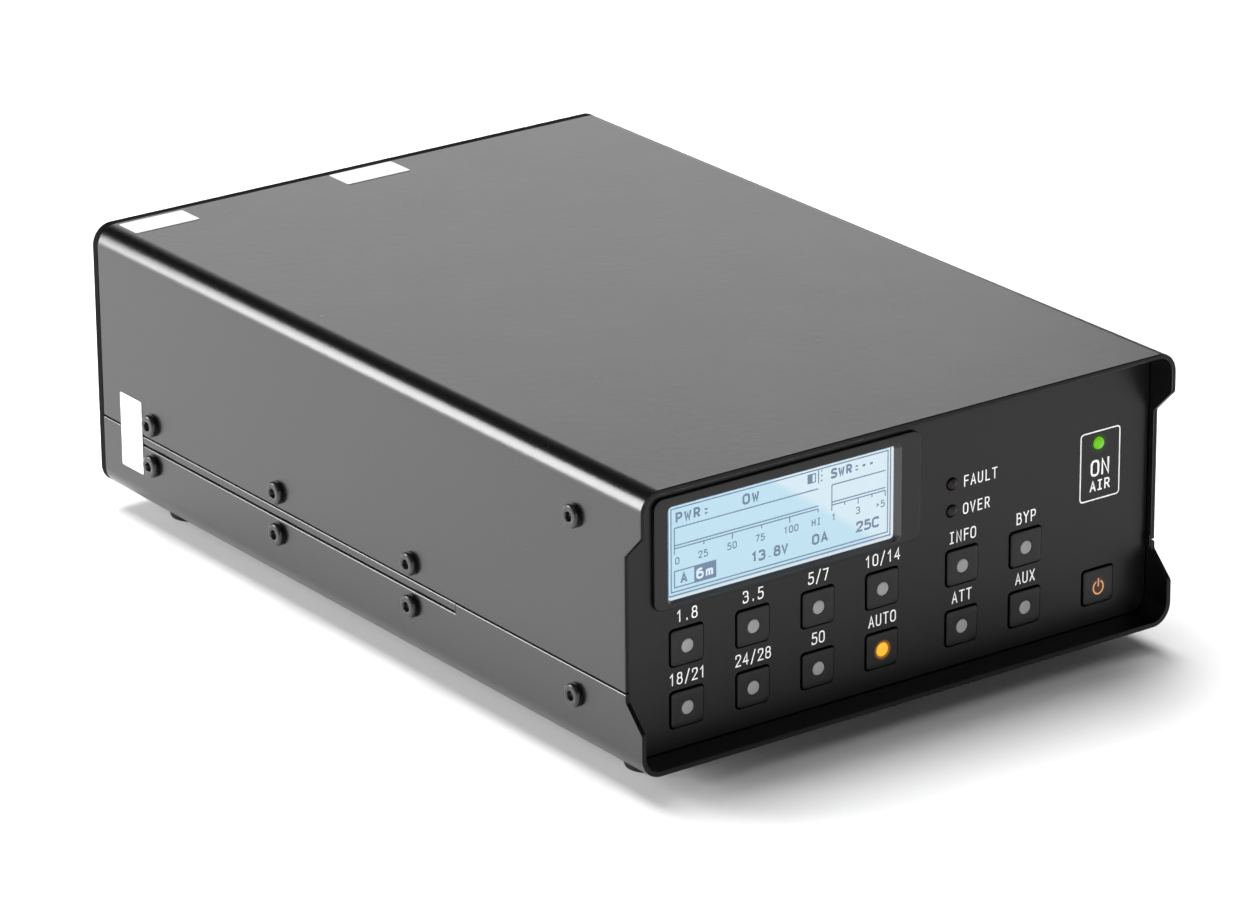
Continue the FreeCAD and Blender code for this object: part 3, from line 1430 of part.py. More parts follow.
def check_features():
    """Stop when any object has failed, or when a cut has removed nothing."""
    for item in document.Objects:
        if "Invalid" in item.State or "Error" in item.State:
            raise RuntimeError(f"{item.Name} ({item.Label}) is {item.State}")
    for body in document.Objects:
        if body.TypeId != "PartDesign::Body":
            continue
        before = 0.0
        for feature in body.Group:
            if feature.TypeId == "Sketcher::SketchObject":
                if not feature.FullyConstrained:
                    raise RuntimeError(f"{body.Label}: {feature.Name} isn't fully constrained")
                continue
            volume = feature.Shape.Volume
            cuts = feature.TypeId in ("PartDesign::Pocket", "PartDesign::SubtractiveLoft")
            if cuts and volume > before - SAME_PLACE:
                raise RuntimeError(f"{body.Label}: {feature.Name} cuts nothing")
            before = volume


def write_pieces():
    """Check each sub-part's shape, then write it to its own file."""
    listed = pieces()
    for item in listed:
        shape = item.Shape
        if shape.isNull() or not shape.isValid() or not shape.Solids:
            raise RuntimeError(f"{item.Label} has no sound shape")
    os.makedirs("parts", exist_ok=True)
    for item in listed:
        item.Shape.exportStep(f"parts/{item.Label}.step")
    print(f"{len(listed)} sub-parts written")


def build():
    """Build every sub-part in turn."""
    fill_sheet()
    build_upper_cover()
    build_lower_cover()
    build_front_panel()
    build_display()
    build_lamps()
    for name, (key_x, key_z) in KEYS.items():
        build_key(name, key_x, key_z)
    pillars = build_control_board()
    build_heat_sink()
    build_amplifier_board()
    build_filter_board(pillars)
    build_rear_panel()
    build_fan_frame()
    build_fan_rotor()
    build_sockets()
    build_inlet()
    build_terminals()
    build_screws()
    build_feet()
    build_stickers()
    document.recompute()
    check_features()
    write_pieces()


build()
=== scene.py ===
"""Dress a table-top short-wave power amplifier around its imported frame.

Places and sizes are in millimetres in the case's own frame: x to the right, y back from the front
lip, z up from the underside of the case. The function spot() turns them into the shared frame.
"""
import logging
import math
from collections.abc import Callable, Sequence
from dataclasses import dataclass, field
from enum import Enum
from functools import cache

import bmesh
import bpy
from mathutils import Matrix, Vector


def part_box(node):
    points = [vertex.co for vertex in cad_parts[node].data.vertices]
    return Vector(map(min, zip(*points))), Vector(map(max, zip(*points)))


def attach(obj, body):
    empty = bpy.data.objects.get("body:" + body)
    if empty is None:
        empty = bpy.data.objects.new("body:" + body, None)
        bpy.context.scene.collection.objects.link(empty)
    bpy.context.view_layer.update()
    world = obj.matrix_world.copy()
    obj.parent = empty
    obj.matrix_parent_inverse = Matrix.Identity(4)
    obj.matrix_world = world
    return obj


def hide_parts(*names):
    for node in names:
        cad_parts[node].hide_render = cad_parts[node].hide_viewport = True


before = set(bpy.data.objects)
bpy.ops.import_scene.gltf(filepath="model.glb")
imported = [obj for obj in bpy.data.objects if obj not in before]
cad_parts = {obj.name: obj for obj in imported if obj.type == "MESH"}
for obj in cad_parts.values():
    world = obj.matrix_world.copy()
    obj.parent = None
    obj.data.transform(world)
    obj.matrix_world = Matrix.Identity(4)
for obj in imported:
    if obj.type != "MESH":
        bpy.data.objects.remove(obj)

Flat = tuple[float, float]
Triple = tuple[float, float, float]
Corner = tuple[float, ...]
Mesh, Tree, Socket = bpy.types.Mesh, bpy.types.NodeTree, bpy.types.NodeSocket

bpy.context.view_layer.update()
LOG = logging.getLogger("amplifier")
MM = 0.001
# How close points are, in metres, before they are merged: drawn ones, and those of a CAD node.
MERGE, NODE_MERGE = 1e-7, 1e-6
# How close to a plane, in metres, something counts as lying in it.
NEAR = 1e-5
# How straight a face looks one way, as a cosine, before it counts as facing it.
FACING = 0.75
# The height of the seam between the covers, at the lower cover's lip.
SEAM_HEIGHT = 19.1
# Where the front lip and the underside of the case lie in the shared frame.
CASE_CORNER = Vector((0.0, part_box("lower_cover")[0].y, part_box("lower_cover")[0].z))
# Stands what is drawn flat upright, facing forwards.
FRONT_PLANE = Matrix.Rotation(math.radians(90), 4, "X")
UPWARDS = Vector((0, 0, 1))


def spot(x: float, y: float, z: float) -> Vector:
    """Turn a place in the case's own frame, in millimetres, into the shared frame, in metres."""
    return CASE_CORNER + Vector((x, y, z)) * MM


# --------------------------------------------------------------------------------------------
# Finishes
# --------------------------------------------------------------------------------------------

def linear(colour: str) -> tuple[float, float, float, float]:
    """Turn an sRGB hex colour into linear values.

    Args:
        colour: Six hex digits, such as "#d8d8d8".

    Returns:
        Linear red, green and blue, and an alpha of 1.
    """
    parts = [int(colour[at:at + 2], 16) / 255 for at in (1, 3, 5)]
    red, green, blue = (part / 12.92 if part <= 0.04045 else ((part + 0.055) / 1.055) ** 2.4
                        for part in parts)
    return red, green, blue, 1.0


def add_node(tree: Tree, kind: str, inputs: dict | None = None,
             **settings: object) -> bpy.types.Node:
    """Add a node with its settings, values and links.

    Args:
        tree: The node tree that gets it.
        kind: The node's type name.
        inputs: Values or other nodes' output sockets, by input name or number.
        **settings: The node's own properties.

    Returns:
        The new node.
    """
    node = tree.nodes.new(kind)
    for name, value in settings.items():
        setattr(node, name, value)
    for key, value in (inputs or {}).items():
        if isinstance(value, Socket):
            tree.links.new(value, node.inputs[key])
        else:
            node.inputs[key].default_value = value
    return node


# Slow patches of tone over a surface: their scale per metre, which makes each about 17 mm wide, and
# what is added to them so that their middle lies near a half.
PATCH_SCALE, PATCH_LIFT = 60.0, 0.25
# The peel of a powder coat: how many grains wide a wave is, and how strong the grit on it is.
PEEL_GRAINS, GRIT_SHARE = 5, 0.6
# How far a brushed grain is drawn out along y, and the roughness of a clear coat.
BRUSHED_STRETCH, COAT_ROUGHNESS = 0.04, 0.08
# A Mix node's two colour inputs and its colour output.
MIX_FIRST, MIX_SECOND, MIX_RESULT = 6, 7, 2


class Grain(Enum):
    """How a surface was made, which decides the pattern of its relief."""

    FINE = "moulded or painted, an even fine tooth"
    POWDER = "powder coat, a soft peel with a fine grit on it"
    BRUSHED = "drawn or turned, lines along the piece"


@dataclass(frozen=True)
class Finish:
    """A surface's material and how it was made.

    Attributes:
        name: The material's common name.
        colour: Its sRGB colour.
        roughness: How widely it scatters what it reflects.
        metallic: 1 for a bare metal.
        ior: The refractive index of a coating or plastic.
        grain: The kind of relief.
        grain_mm: The width of one grain.
        grain_depth_mm: The height of one grain.
        spread: How far colour and roughness vary over the surface, as a share; 0 for not at all.
        glow: The colour of its own light, if it is lit.
        glow_strength: How bright that light is.
        clearness: 1 for a clear material.
        coat: 1 for a clear glossy layer on top.
    """

    name: str
    colour: str
    roughness: float
    metallic: float = 0.0
    ior: float = 1.5
    grain: Grain = Grain.FINE
    grain_mm: float = 0.5
    grain_depth_mm: float = 0.004
    spread: float = 0.06
    glow: str = "#000000"
    glow_strength: float = 0.0
    clearness: float = 0.0
    coat: float = 0.0

    @cache
    def material(self) -> bpy.types.Material:
        """Build the material once, and give the same one each time after that."""
        made = bpy.data.materials.new(self.name)
        made.use_nodes = True
        made.node_tree.nodes.clear()
        self.build(made.node_tree)
        return made

    def build(self, tree: Tree) -> None:
        """Fill the material's tree: the shader, its relief and its variation.

        Args:
            tree: The empty tree.
        """
        place = add_node(tree, "ShaderNodeTexCoord").outputs["Object"]
        relief = self.relief(tree, place)
        bump = add_node(tree, "ShaderNodeBump", {
            "Height": relief,
            "Strength": 1.0,
            "Distance": self.grain_depth_mm * MM,
        })
        look = {"Base Color": linear(self.colour), "Roughness": self.roughness}
        if self.spread:
            patches = add_node(tree, "ShaderNodeTexNoise", {
                "Vector": place,
                "Scale": PATCH_SCALE,
                "Detail": 3.0,
            })
            shade = add_node(tree, "ShaderNodeMath", {
                0: patches.outputs["Fac"],
                1: relief,
                2: PATCH_LIFT,
            }, operation="MULTIPLY_ADD").outputs[0]
            look["Base Color"] = self.colour_socket(tree, place, shade)
            look["Roughness"] = add_node(tree, "ShaderNodeMapRange", {
                "Value": shade,
                "To Min": self.roughness * (1 - self.spread),
                "To Max": self.roughness * (1 + self.spread),
            }).outputs[0]
        shader = add_node(tree, "ShaderNodeBsdfPrincipled", {
            **look,
            "Metallic": self.metallic,
            "IOR": self.ior,
            "Transmission Weight": self.clearness,
            "Coat Weight": self.coat,
            "Coat Roughness": COAT_ROUGHNESS,
            "Emission Color": linear(self.glow),
            "Emission Strength": self.glow_strength,
            "Normal": bump.outputs[0],
        })
        self.light(tree, place, shader)
        add_node(tree, "ShaderNodeOutputMaterial", {"Surface": shader.outputs[0]})

    def relief(self, tree: Tree, place: Socket) -> Socket:
        """Make the height of the surface's grain.

        Args:
            tree: The material's tree.
            place: The object coordinates.

        Returns:
            The height, from 0 to 1.
        """
        stretch = (1.0, BRUSHED_STRETCH if self.grain is Grain.BRUSHED else 1.0, 1.0)
        scaled = add_node(tree, "ShaderNodeMapping", {"Vector": place, "Scale": stretch})
        fine = add_node(tree, "ShaderNodeTexNoise", {
            "Vector": scaled.outputs[0],
            "Scale": 1 / (self.grain_mm * MM),
            "Detail": 1.0,
        })
        if self.grain is not Grain.POWDER:
            return fine.outputs["Fac"]
        peel = add_node(tree, "ShaderNodeTexNoise", {
            "Vector": place,
            "Scale": 1 / (PEEL_GRAINS * self.grain_mm * MM),
            "Detail": 1.0,
        })
        both = add_node(tree, "ShaderNodeMath", {
            0: fine.outputs["Fac"],
            1: GRIT_SHARE,
            2: peel.outputs["Fac"],
        }, operation="MULTIPLY_ADD")
        return both.outputs[0]

    def colour_socket(self, tree: Tree, place: Socket, shade: Socket) -> Socket:
        """Vary the colour a little over the surface.

        Args:
            tree: The material's tree.
            place: The object coordinates.
            shade: A slowly varying value from 0 to 1.

        Returns:
            The colour.
        """
        red, green, blue, alpha = linear(self.colour)
        low, high = 1 - self.spread, 1 + self.spread
        mixed = add_node(tree, "ShaderNodeMix", {
            "Factor": shade,
            MIX_FIRST: (red * low, green * low, blue * low, alpha),
            MIX_SECOND: (red * high, green * high, blue * high, alpha),
        }, data_type="RGBA")
        return mixed.outputs[MIX_RESULT]

    def light(self, tree: Tree, place: Socket, shader: bpy.types.Node) -> None:
        """Add light of a pattern to the shader. A plain finish has none."""


# The painted glow that stands in for the light a lit lamp spreads round itself: its colour, its
# strength, and where it starts and ends, in millimetres.
LAMP_GLOWS = {
    "auto": ("#ff9a20", 0.3, 1.7, 2.7),
    "power": ("#ff7a10", 0.05, 1.0, 2.9),
    "air": ("#4ce000", 0.05, 1.4, 2.9),
}


@dataclass(frozen=True)
class Halo(Finish):
    """A finish with a painted glow round one spot, standing in for a bright lamp's light on it.

    Attributes:
        centre: The spot, in metres in the shared frame.
        inner_mm: Where the halo starts.
        outer_mm: Where it has faded out.
    """

    centre: Triple = (0.0, 0.0, 0.0)
    inner_mm: float = 1.7
    outer_mm: float = 3.2

    @classmethod
    def around(cls, base: Finish, name: str, lamp: str, centre: Vector) -> "Halo":
        """Give a finish the painted glow of one of the lamps.

        Args:
            base: The finish.
            name: The new finish's name.
            lamp: The lamp's name in LAMP_GLOWS.
            centre: Its middle, in metres in the shared frame.

        Returns:
            The finish with its halo.
        """
        glow, strength, inner, outer = LAMP_GLOWS[lamp]
        return cls(**{**vars(base), "name": name, "glow": glow, "glow_strength": strength,
                      "inner_mm": inner, "outer_mm": outer, "centre": tuple(centre)})

    def light(self, tree: Tree, place: Socket, shader: bpy.types.Node) -> None:
        """Let the painted glow fall off from the spot."""
        far = add_node(tree, "ShaderNodeVectorMath", {
            0: place,
            1: self.centre,
        }, operation="DISTANCE")
        fade = add_node(tree, "ShaderNodeMapRange", {
            "Value": far.outputs["Value"],
            "From Min": self.inner_mm * MM,
            "From Max": self.outer_mm * MM,
            "To Min": 1.0,
            "To Max": 0.0,
        }, interpolation_type="SMOOTHERSTEP")
        shown = add_node(tree, "ShaderNodeMix", {
            "Factor": fade.outputs[0],
            MIX_FIRST: linear("#000000"),
            MIX_SECOND: linear(self.glow),
        }, data_type="RGBA")
        tree.links.new(shown.outputs[MIX_RESULT], shader.inputs["Emission Color"])


# The slanting edge of a painted reflection on the display, from two points on it, in metres, and
# what that painted reflection changes past it: over how far, and by how much.
SLANT_TOP, SLANT_LOW = spot(-35.3, 0.0, 58.6), spot(-8.9, 0.0, 39.8)
SLANT_RUN = (SLANT_LOW - SLANT_TOP).normalized()
SLANT_NORMAL = (-SLANT_RUN.z, SLANT_RUN.x)
SLANT_START = SLANT_TOP.x * SLANT_NORMAL[0] + SLANT_TOP.z * SLANT_NORMAL[1]
SLANT_BLEND, SLANT_REFLECTION_LIFT = 2.5 * MM, 0.75


@dataclass(frozen=True)
class Backlight(Finish):
    """A lit display: pale, white at its rim, lighter past a slanting line by a painted reflection.

    Attributes:
        low: The field's lower left corner, in metres in the shared frame.
        high: Its upper right corner.
        rim_mm: The width of the white rim.
        rim_full: The share of that width that is fully white.
        rim: The rim's colour.
        bright: The colour of the painted reflection past the slanting line.
    """

    low: Triple = (0.0, 0.0, 0.0)
    high: Triple = (1.0, 1.0, 1.0)
    rim_mm: float = 0.42
    rim_full: float = 0.2
    rim: str = "#f2f9fd"
    bright: str = "#dceef7"

    def light(self, tree: Tree, place: Socket, shader: bpy.types.Node) -> None:
        """Paint the lit field, and the painted reflection past the slanting line."""
        parts = add_node(tree, "ShaderNodeSeparateXYZ", {0: place}).outputs
        gaps = []
        for axis in (0, 2):
            for far, near in ((parts[axis], self.low[axis]), (self.high[axis], parts[axis])):
                gaps.append(add_node(tree, "ShaderNodeMath", {0: far, 1: near},
                                     operation="SUBTRACT").outputs[0])
        edge = gaps[0]
        for gap in gaps[1:]:
            edge = add_node(tree, "ShaderNodeMath", {0: edge, 1: gap},
                            operation="MINIMUM").outputs[0]
        rim = add_node(tree, "ShaderNodeMapRange", {
            "Value": edge,
            "From Min": self.rim_full * self.rim_mm * MM,
            "From Max": self.rim_mm * MM,
            "To Min": 1.0,
            "To Max": 0.0,
        }, interpolation_type="SMOOTHSTEP")
        # Painted reflection: past the slanting line the field turns lighter, standing in for a
        # reflection in the window.
        slope = add_node(tree, "ShaderNodeVectorMath", {
            0: place,
            1: (SLANT_NORMAL[0], 0.0, SLANT_NORMAL[1]),
        }, operation="DOT_PRODUCT")
        past = add_node(tree, "ShaderNodeMapRange", {
            "Value": slope.outputs["Value"],
            "From Min": SLANT_START,
            "From Max": SLANT_START + SLANT_BLEND,
            "To Min": 0.0,
            "To Max": SLANT_REFLECTION_LIFT,
        }, interpolation_type="SMOOTHSTEP")
        field_colour = add_node(tree, "ShaderNodeMix", {
            "Factor": past.outputs[0],
            MIX_FIRST: linear(self.glow),
            MIX_SECOND: linear(self.bright),
        }, data_type="RGBA")
        lit = add_node(tree, "ShaderNodeMix", {
            "Factor": rim.outputs[0],
            MIX_FIRST: field_colour.outputs[MIX_RESULT],
            MIX_SECOND: linear(self.rim),
        }, data_type="RGBA")
        tree.links.new(lit.outputs[MIX_RESULT], shader.inputs["Emission Color"])


@dataclass(frozen=True)
class Laminate(Finish):
    """A circuit board: glass-fibre laminate under solder mask, with copper runs showing through.

    Attributes:
        run_mm: The spacing of the copper runs.
        gap: How far the gap between two runs reaches into each, as a share of that.
        disorder: How far the runs leave a regular grid, from 0 to 1.
        lift: How much lighter red, green and blue are on a run.
    """

    run_mm: float = 3.0
    gap: float = 0.12
    disorder: float = 0.55
    lift: Triple = (1.9, 1.6, 1.6)

    def colour_socket(self, tree: Tree, place: Socket, shade: Socket) -> Socket:
        """Lay lighter runs in blocks over the board."""
        runs = add_node(tree, "ShaderNodeTexVoronoi", {
            "Vector": place,
            "Scale": 1 / (self.run_mm * MM),
            "Randomness": self.disorder,
        }, distance="CHEBYCHEV", feature="DISTANCE_TO_EDGE")
        edge = add_node(tree, "ShaderNodeMath", {
            0: runs.outputs["Distance"],
            1: self.gap,
        }, operation="LESS_THAN")
        plain = linear(self.colour)
        lifted = [part * more for part, more in zip(plain, self.lift)]
        mixed = add_node(tree, "ShaderNodeMix", {
            "Factor": edge.outputs[0],
            MIX_FIRST: (*lifted, plain[3]),
            MIX_SECOND: plain,
        }, data_type="RGBA")
        return mixed.outputs[MIX_RESULT]


# Powder coat where it is thin, on the sheet's cut edges: black and dull, so that the edge draws a
# dark line.
CUT_EDGE = Finish("thin_coat_on_cut_edge", "#060606", 0.65, ior=1.15, grain_mm=0.4,
                  grain_depth_mm=0.01)
# The same on the covers' front lips, where it is a little thicker and shows as dark grey.
LIP_EDGE = Finish("thin_coat_on_front_lip", "#060606", 0.5, ior=1.3, grain_mm=0.4,
                  grain_depth_mm=0.01)
# Polyester powder coat on folded steel: black, half gloss, with a soft peel and a fine grit that
# breaks up what it reflects. The real grit is near 0.1 mm; it is drawn at 0.5 mm so that it shows.
POWDER_COAT = Finish("polyester_powder_coat", "#030303", 0.26, ior=1.62, grain=Grain.POWDER,
                     grain_mm=0.5, grain_depth_mm=0.017, spread=0.06)
# The rear panel has the same coat without gloss.
REAR_COAT = Finish("matt_powder_coat", "#0c0c0d", 0.5, ior=1.42, grain=Grain.POWDER, grain_mm=0.45,
                   grain_depth_mm=0.02)
# Silk-matt paint on the aluminium front panel: an even charcoal with a fine tooth.
PANEL_PAINT = Finish("silk_matt_paint", "#050505", 0.36, ior=1.365, grain_mm=0.35,
                     grain_depth_mm=0.006)
# ABS moulded against a spark-eroded tool: dark, with a slight sheen at its rounded edges.
BEZEL_ABS = Finish("abs_bezel", "#0e0e0e", 0.36, ior=1.38, grain_mm=0.3, grain_depth_mm=0.003)
# The polished bevel round the window, painted a lighter grey than the bezel: painted light that
# stands in for the light of the display that it picks up.
BEZEL_BEVEL_PAINTED_LIGHT = Finish("polished_abs_bevel", "#414143", 0.22, ior=1.5, grain_mm=0.3,
                     grain_depth_mm=0.002)
# The key caps are the same plastic, a little smoother, so that their edges catch a faint light.
KEY_ABS = Finish("abs_key_cap", "#080808", 0.34, ior=1.38, grain_mm=0.3, grain_depth_mm=0.003)
# Screen-printing ink: an off-white film with soft gloss.
LEGEND_INK = Finish("screen_printed_ink", "#ffffff", 0.5, grain_mm=0.6, grain_depth_mm=0.002,
                    spread=0.03)
# Frosted acrylic: light grey when the lamp behind it is off.
FROSTED_GUIDE = Finish("frosted_acrylic", "#929292", 0.45, ior=1.49, grain_mm=0.4,
                       grain_depth_mm=0.004)
# The same acrylic with an amber lamp on behind it: an even warm yellow.
AMBER_GUIDE = Finish("lit_amber_acrylic", "#6a4200", 0.4, ior=1.49, glow="#ffc62a",
                     glow_strength=0.85, grain_mm=0.4, grain_depth_mm=0.003)
# Orange ink lit from behind, soft and pale.
ORANGE_MARK = Finish("lit_orange_mark", "#5a3018", 0.5, glow="#d8a474", glow_strength=0.85,
                     grain_mm=0.5)
# Clear cast acrylic in front of the display.
WINDOW_ACRYLIC = Finish("clear_acrylic", "#ffffff", 0.02, ior=1.49, clearness=1.0, grain_mm=20.0,
                        grain_depth_mm=0.001, spread=0.0)
# Liquid crystal over a backlight: slate blue where it blocks the light, near white where it lets
# it pass.
DISPLAY_INK = Finish("liquid_crystal_dark", "#101014", 0.5, glow="#335d86", glow_strength=1.0,
                     grain_mm=0.4, grain_depth_mm=0.001)
DISPLAY_CLEAR = Finish("liquid_crystal_light", "#1c2226", 0.5, glow="#cfe4f3", glow_strength=1.0,
                       grain_mm=0.4, grain_depth_mm=0.001)
# Cast epoxy lamp lenses: tinted and glossy, nearly black while off, bright to the rim while lit.
RED_LENS = Finish("red_epoxy_lens", "#120505", 0.3, ior=1.33, grain_mm=3.0, grain_depth_mm=0.002)
OLIVE_LENS = Finish("olive_epoxy_lens", "#14120b", 0.3, ior=1.33, grain_mm=3.0,
                    grain_depth_mm=0.002)
GREEN_LENS = Finish("lit_green_epoxy_lens", "#0c2400", 0.15, ior=1.36, glow="#72d200",
                    glow_strength=0.85, grain_mm=3.0, grain_depth_mm=0.002, coat=0.3)
# Black oxide on alloy steel screws: dark, oily, slightly glossy.
BLACK_OXIDE = Finish("black_oxide_steel", "#0c0c0c", 0.30, ior=1.56, grain_mm=0.4,
                     grain_depth_mm=0.003)
# Nitrile rubber: deep black, dull.
RUBBER = Finish("moulded_rubber", "#0a0a0a", 0.75, grain_mm=0.5, grain_depth_mm=0.01)
# Coated label paper: white, smooth.
LABEL_PAPER = Finish("label_paper", "#bdbdbb", 0.55, grain_mm=0.8, grain_depth_mm=0.003,
                     spread=0.02)
# Glass-filled nylon: black and half matt, with a coarse mould texture.
MOULDED_BLACK = Finish("glass_filled_nylon", "#121212", 0.5, grain_mm=0.5, grain_depth_mm=0.008)
# Nickel plate on brass: bright, a little yellow, with turning marks.
NICKEL = Finish("nickel_plated_brass", "#c9c4b8", 0.24, metallic=1.0, grain=Grain.BRUSHED,
                grain_mm=0.3, grain_depth_mm=0.004)
# Bright zinc plate on turned steel: cool grey, with lines along the part.
ZINC = Finish("zinc_plated_steel", "#b9bcc0", 0.3, metallic=1.0, grain=Grain.BRUSHED, grain_mm=0.4,
              grain_depth_mm=0.003)
# Drawn brass: yellow, with fine lines along the pin.
CONTACT_BRASS = Finish("drawn_brass", "#c9a255", 0.25, metallic=1.0, grain=Grain.BRUSHED,
                       grain_mm=0.3)
# Turned PTFE: ivory white and waxy.
FLUOROPOLYMER = Finish("ptfe", "#e9e7e0", 0.4, ior=1.38, grain_mm=0.8)
# Etched laminate under green solder mask: glossy, with the copper showing lighter.
BOARD = Laminate("glass_epoxy_laminate", "#0d3a1d", 0.3, ior=1.55, grain_mm=0.5)
# Sintered alumina: off-white, dense and smooth.
CERAMIC = Finish("alumina_ceramic", "#e4e0d4", 0.4, ior=1.7, grain_mm=0.4)
# Pressed and sintered ferrite: charcoal grey and slightly rough.
FERRITE = Finish("sintered_ferrite", "#2b2b2d", 0.55, grain_mm=0.6, grain_depth_mm=0.02)
# Pressed iron powder under dipped paint: brick red with an uneven skin.
IRON_POWDER = Finish("coated_iron_powder", "#a02418", 0.4, grain_mm=0.8, grain_depth_mm=0.02)
# Moulded polyester: near black, with a faint gloss.
RELAY_CASE = Finish("polyester_relay_case", "#1d1d20", 0.35, grain_mm=0.4)


# --------------------------------------------------------------------------------------------
# Making meshes
# --------------------------------------------------------------------------------------------

def finish_piece(mesh: Mesh, name: str, body: str, finish: Finish,
                 stands_for: Sequence[str] = (), second: Finish | None = None) -> bpy.types.Object:
    """Make a mesh a piece of the amplifier.

    Args:
        mesh: Its mesh, already in the shared frame.
        name: The piece's name.
        body: The body it moves with.
        finish: Its finish.
        stands_for: The frame's nodes that it replaces.
        second: The finish of the faces marked by second_finish.

    Returns:
        The piece.
    """
    marks = [face.material_index for face in mesh.polygons]
    mesh.name = name
    mesh.materials.clear()
    mesh.materials.append(finish.material())
    if second:
        mesh.materials.append(second.material())
        mesh.polygons.foreach_set("material_index", marks)
    piece = new_object(name, mesh)
    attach(piece, body)
    if stands_for:
        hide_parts(*stands_for)
    LOG.info("%s: %d faces, rides on %s", name, len(mesh.polygons), body)
    return piece


def new_object(name: str, data: bpy.types.ID) -> bpy.types.Object:
    """Put a mesh, curve, light or camera into the scene as an object."""
    made = bpy.data.objects.new(name, data)
    bpy.context.scene.collection.objects.link(made)
    return made


def baked(mesh: Mesh, modify: Callable[[bpy.types.Object], None]) -> Mesh:
    """Run modifiers on a mesh and keep only their result.

    Args:
        mesh: The starting mesh.
        modify: Adds the modifiers to the object it is given.

    Returns:
        The finished mesh.
    """
    carrier = new_object("carrier", mesh)
    modify(carrier)
    graph = bpy.context.evaluated_depsgraph_get()
    result = bpy.data.meshes.new_from_object(carrier.evaluated_get(graph),
                                             preserve_all_data_layers=True, depsgraph=graph)
    bpy.data.objects.remove(carrier)
    return result


def second_finish(mesh: Mesh, chosen: Callable[[Vector, Vector], bool]) -> Mesh:
    """Mark the faces that get a piece's second finish.

    Args:
        mesh: The piece's mesh.
        chosen: Tells from a face's middle, in metres, and its normal whether it is one of them.

    Returns:
        The same mesh.
    """
    for face in mesh.polygons:
        face.material_index = int(chosen(face.center, face.normal))
    return mesh


def shaded(mesh: Mesh, smooth: bool = True) -> Mesh:
    """Shade a mesh's faces smooth or flat."""
    for face in mesh.polygons:
        face.use_smooth = smooth
    return mesh


def plain_mesh(shape: bmesh.types.BMesh) -> Mesh:
    """Turn a built shape into a mesh as it is, and free it."""
    mesh = bpy.data.meshes.new("shape")
    shape.to_mesh(mesh)
    shape.free()
    return mesh


def from_bmesh(shape: bmesh.types.BMesh, smooth: bool = True) -> Mesh:
    """Turn a built shape into a mesh with its faces outwards.

    Args:
        shape: The shape, which is freed.
        smooth: Whether its curved parts are shaded smooth.

    Returns:
        The mesh.
    """
    bmesh.ops.recalc_face_normals(shape, faces=shape.faces)
    return shaded(plain_mesh(shape), smooth)


def edged(mesh: Mesh, edge_mm: float, segments: int = 2, sharp: float = 35.0) -> Mesh:
    """Round a mesh's sharp edges and keep its flat faces flat to the eye.

    Args:
        mesh: The mesh.
        edge_mm: The size of the rounding.
        segments: How many faces it has.
        sharp: The least angle of an edge that is rounded, in degrees.

    Returns:
        The finished mesh.
    """
    def modify(carrier: bpy.types.Object) -> None:
        """Add the rounding and the weighted normals."""
        bevel = carrier.modifiers.new("edge", "BEVEL")
        bevel.width = edge_mm * MM
        bevel.segments = segments
        bevel.angle_limit = math.radians(sharp)
        bevel.use_clamp_overlap = True
        normals = carrier.modifiers.new("normals", "WEIGHTED_NORMAL")
        normals.weight = 100

    return baked(mesh, modify)


def rounded_along(mesh: Mesh, size_mm: float, chosen: Callable[[Vector], bool]) -> Mesh:
    """Round some of a mesh's long edges more than the rest.

    Args:
        mesh: The mesh.
        size_mm: The size of the rounding.
        chosen: Tells whether an edge's end is one of them, in metres.

    Returns:
        The rounded mesh.
    """
    least_length, least_angle = 5 * MM, 0.5
    shape = bmesh.new()
    shape.from_mesh(mesh)
    edges = [edge for edge in shape.edges if len(edge.link_faces) == 2
             and edge.calc_face_angle() > least_angle and edge.calc_length() > least_length
             and all(chosen(vert.co) for vert in edge.verts)]
    bmesh.ops.bevel(shape, geom=edges, offset=size_mm * MM, segments=4, profile=0.5,
                    affect="EDGES")
    shape.to_mesh(mesh)
    shape.free()
    return shaded(mesh)


def rounded(corners: Sequence[Corner], closed: bool, steps: int = 4) -> list[Flat]:
    """Round the corners of a line.

    Args:
        corners: Points (x, y) or (x, y, radius).
        closed: Whether the last point joins the first.
        steps: How many runs each rounding has.

    Returns:
        The points of the rounded line.
    """
    points: list[Flat] = []
    count = len(corners)
    for at, corner in enumerate(corners):
        here = Vector(corner[:2])
        radius = corner[2] if len(corner) > 2 else 0.0
        if not radius or (not closed and at in (0, count - 1)):
            points.append(tuple(here))
            continue
        before = Vector(corners[at - 1][:2]) - here
        after = Vector(corners[(at + 1) % count][:2]) - here
        turn = before.angle(after) / 2
        reach = min(radius / math.tan(turn), before.length / 2, after.length / 2)
        start, end = here + before.normalized() * reach, here + after.normalized() * reach
        for step in range(steps + 1):
            share = step / steps
            bend = start.lerp(here, share).lerp(here.lerp(end, share), share)
            points.append(tuple(bend))
    return points


def rounded_rectangle(width: float, height: float, radius: float, centre: Flat = (0.0, 0.0),
                      steps: int = 5) -> list[Flat]:
    """List the points of a rounded rectangle, anticlockwise from its lower left corner.

    Args:
        width: Its width.
        height: Its height.
        radius: Its corner radius.
        centre: Its middle.
        steps: How many runs each corner has.

    Returns:
        The points.
    """
    points = []
    for quarter, (side, level) in enumerate(((-1, -1), (1, -1), (1, 1), (-1, 1))):
        for step in range(steps + 1):
            angle = math.radians(180 + 90 * quarter + 90 * step / steps)
            points.append((centre[0] + side * (width / 2 - radius) + radius * math.cos(angle),
                           centre[1] + level * (height / 2 - radius) + radius * math.sin(angle)))
    return points


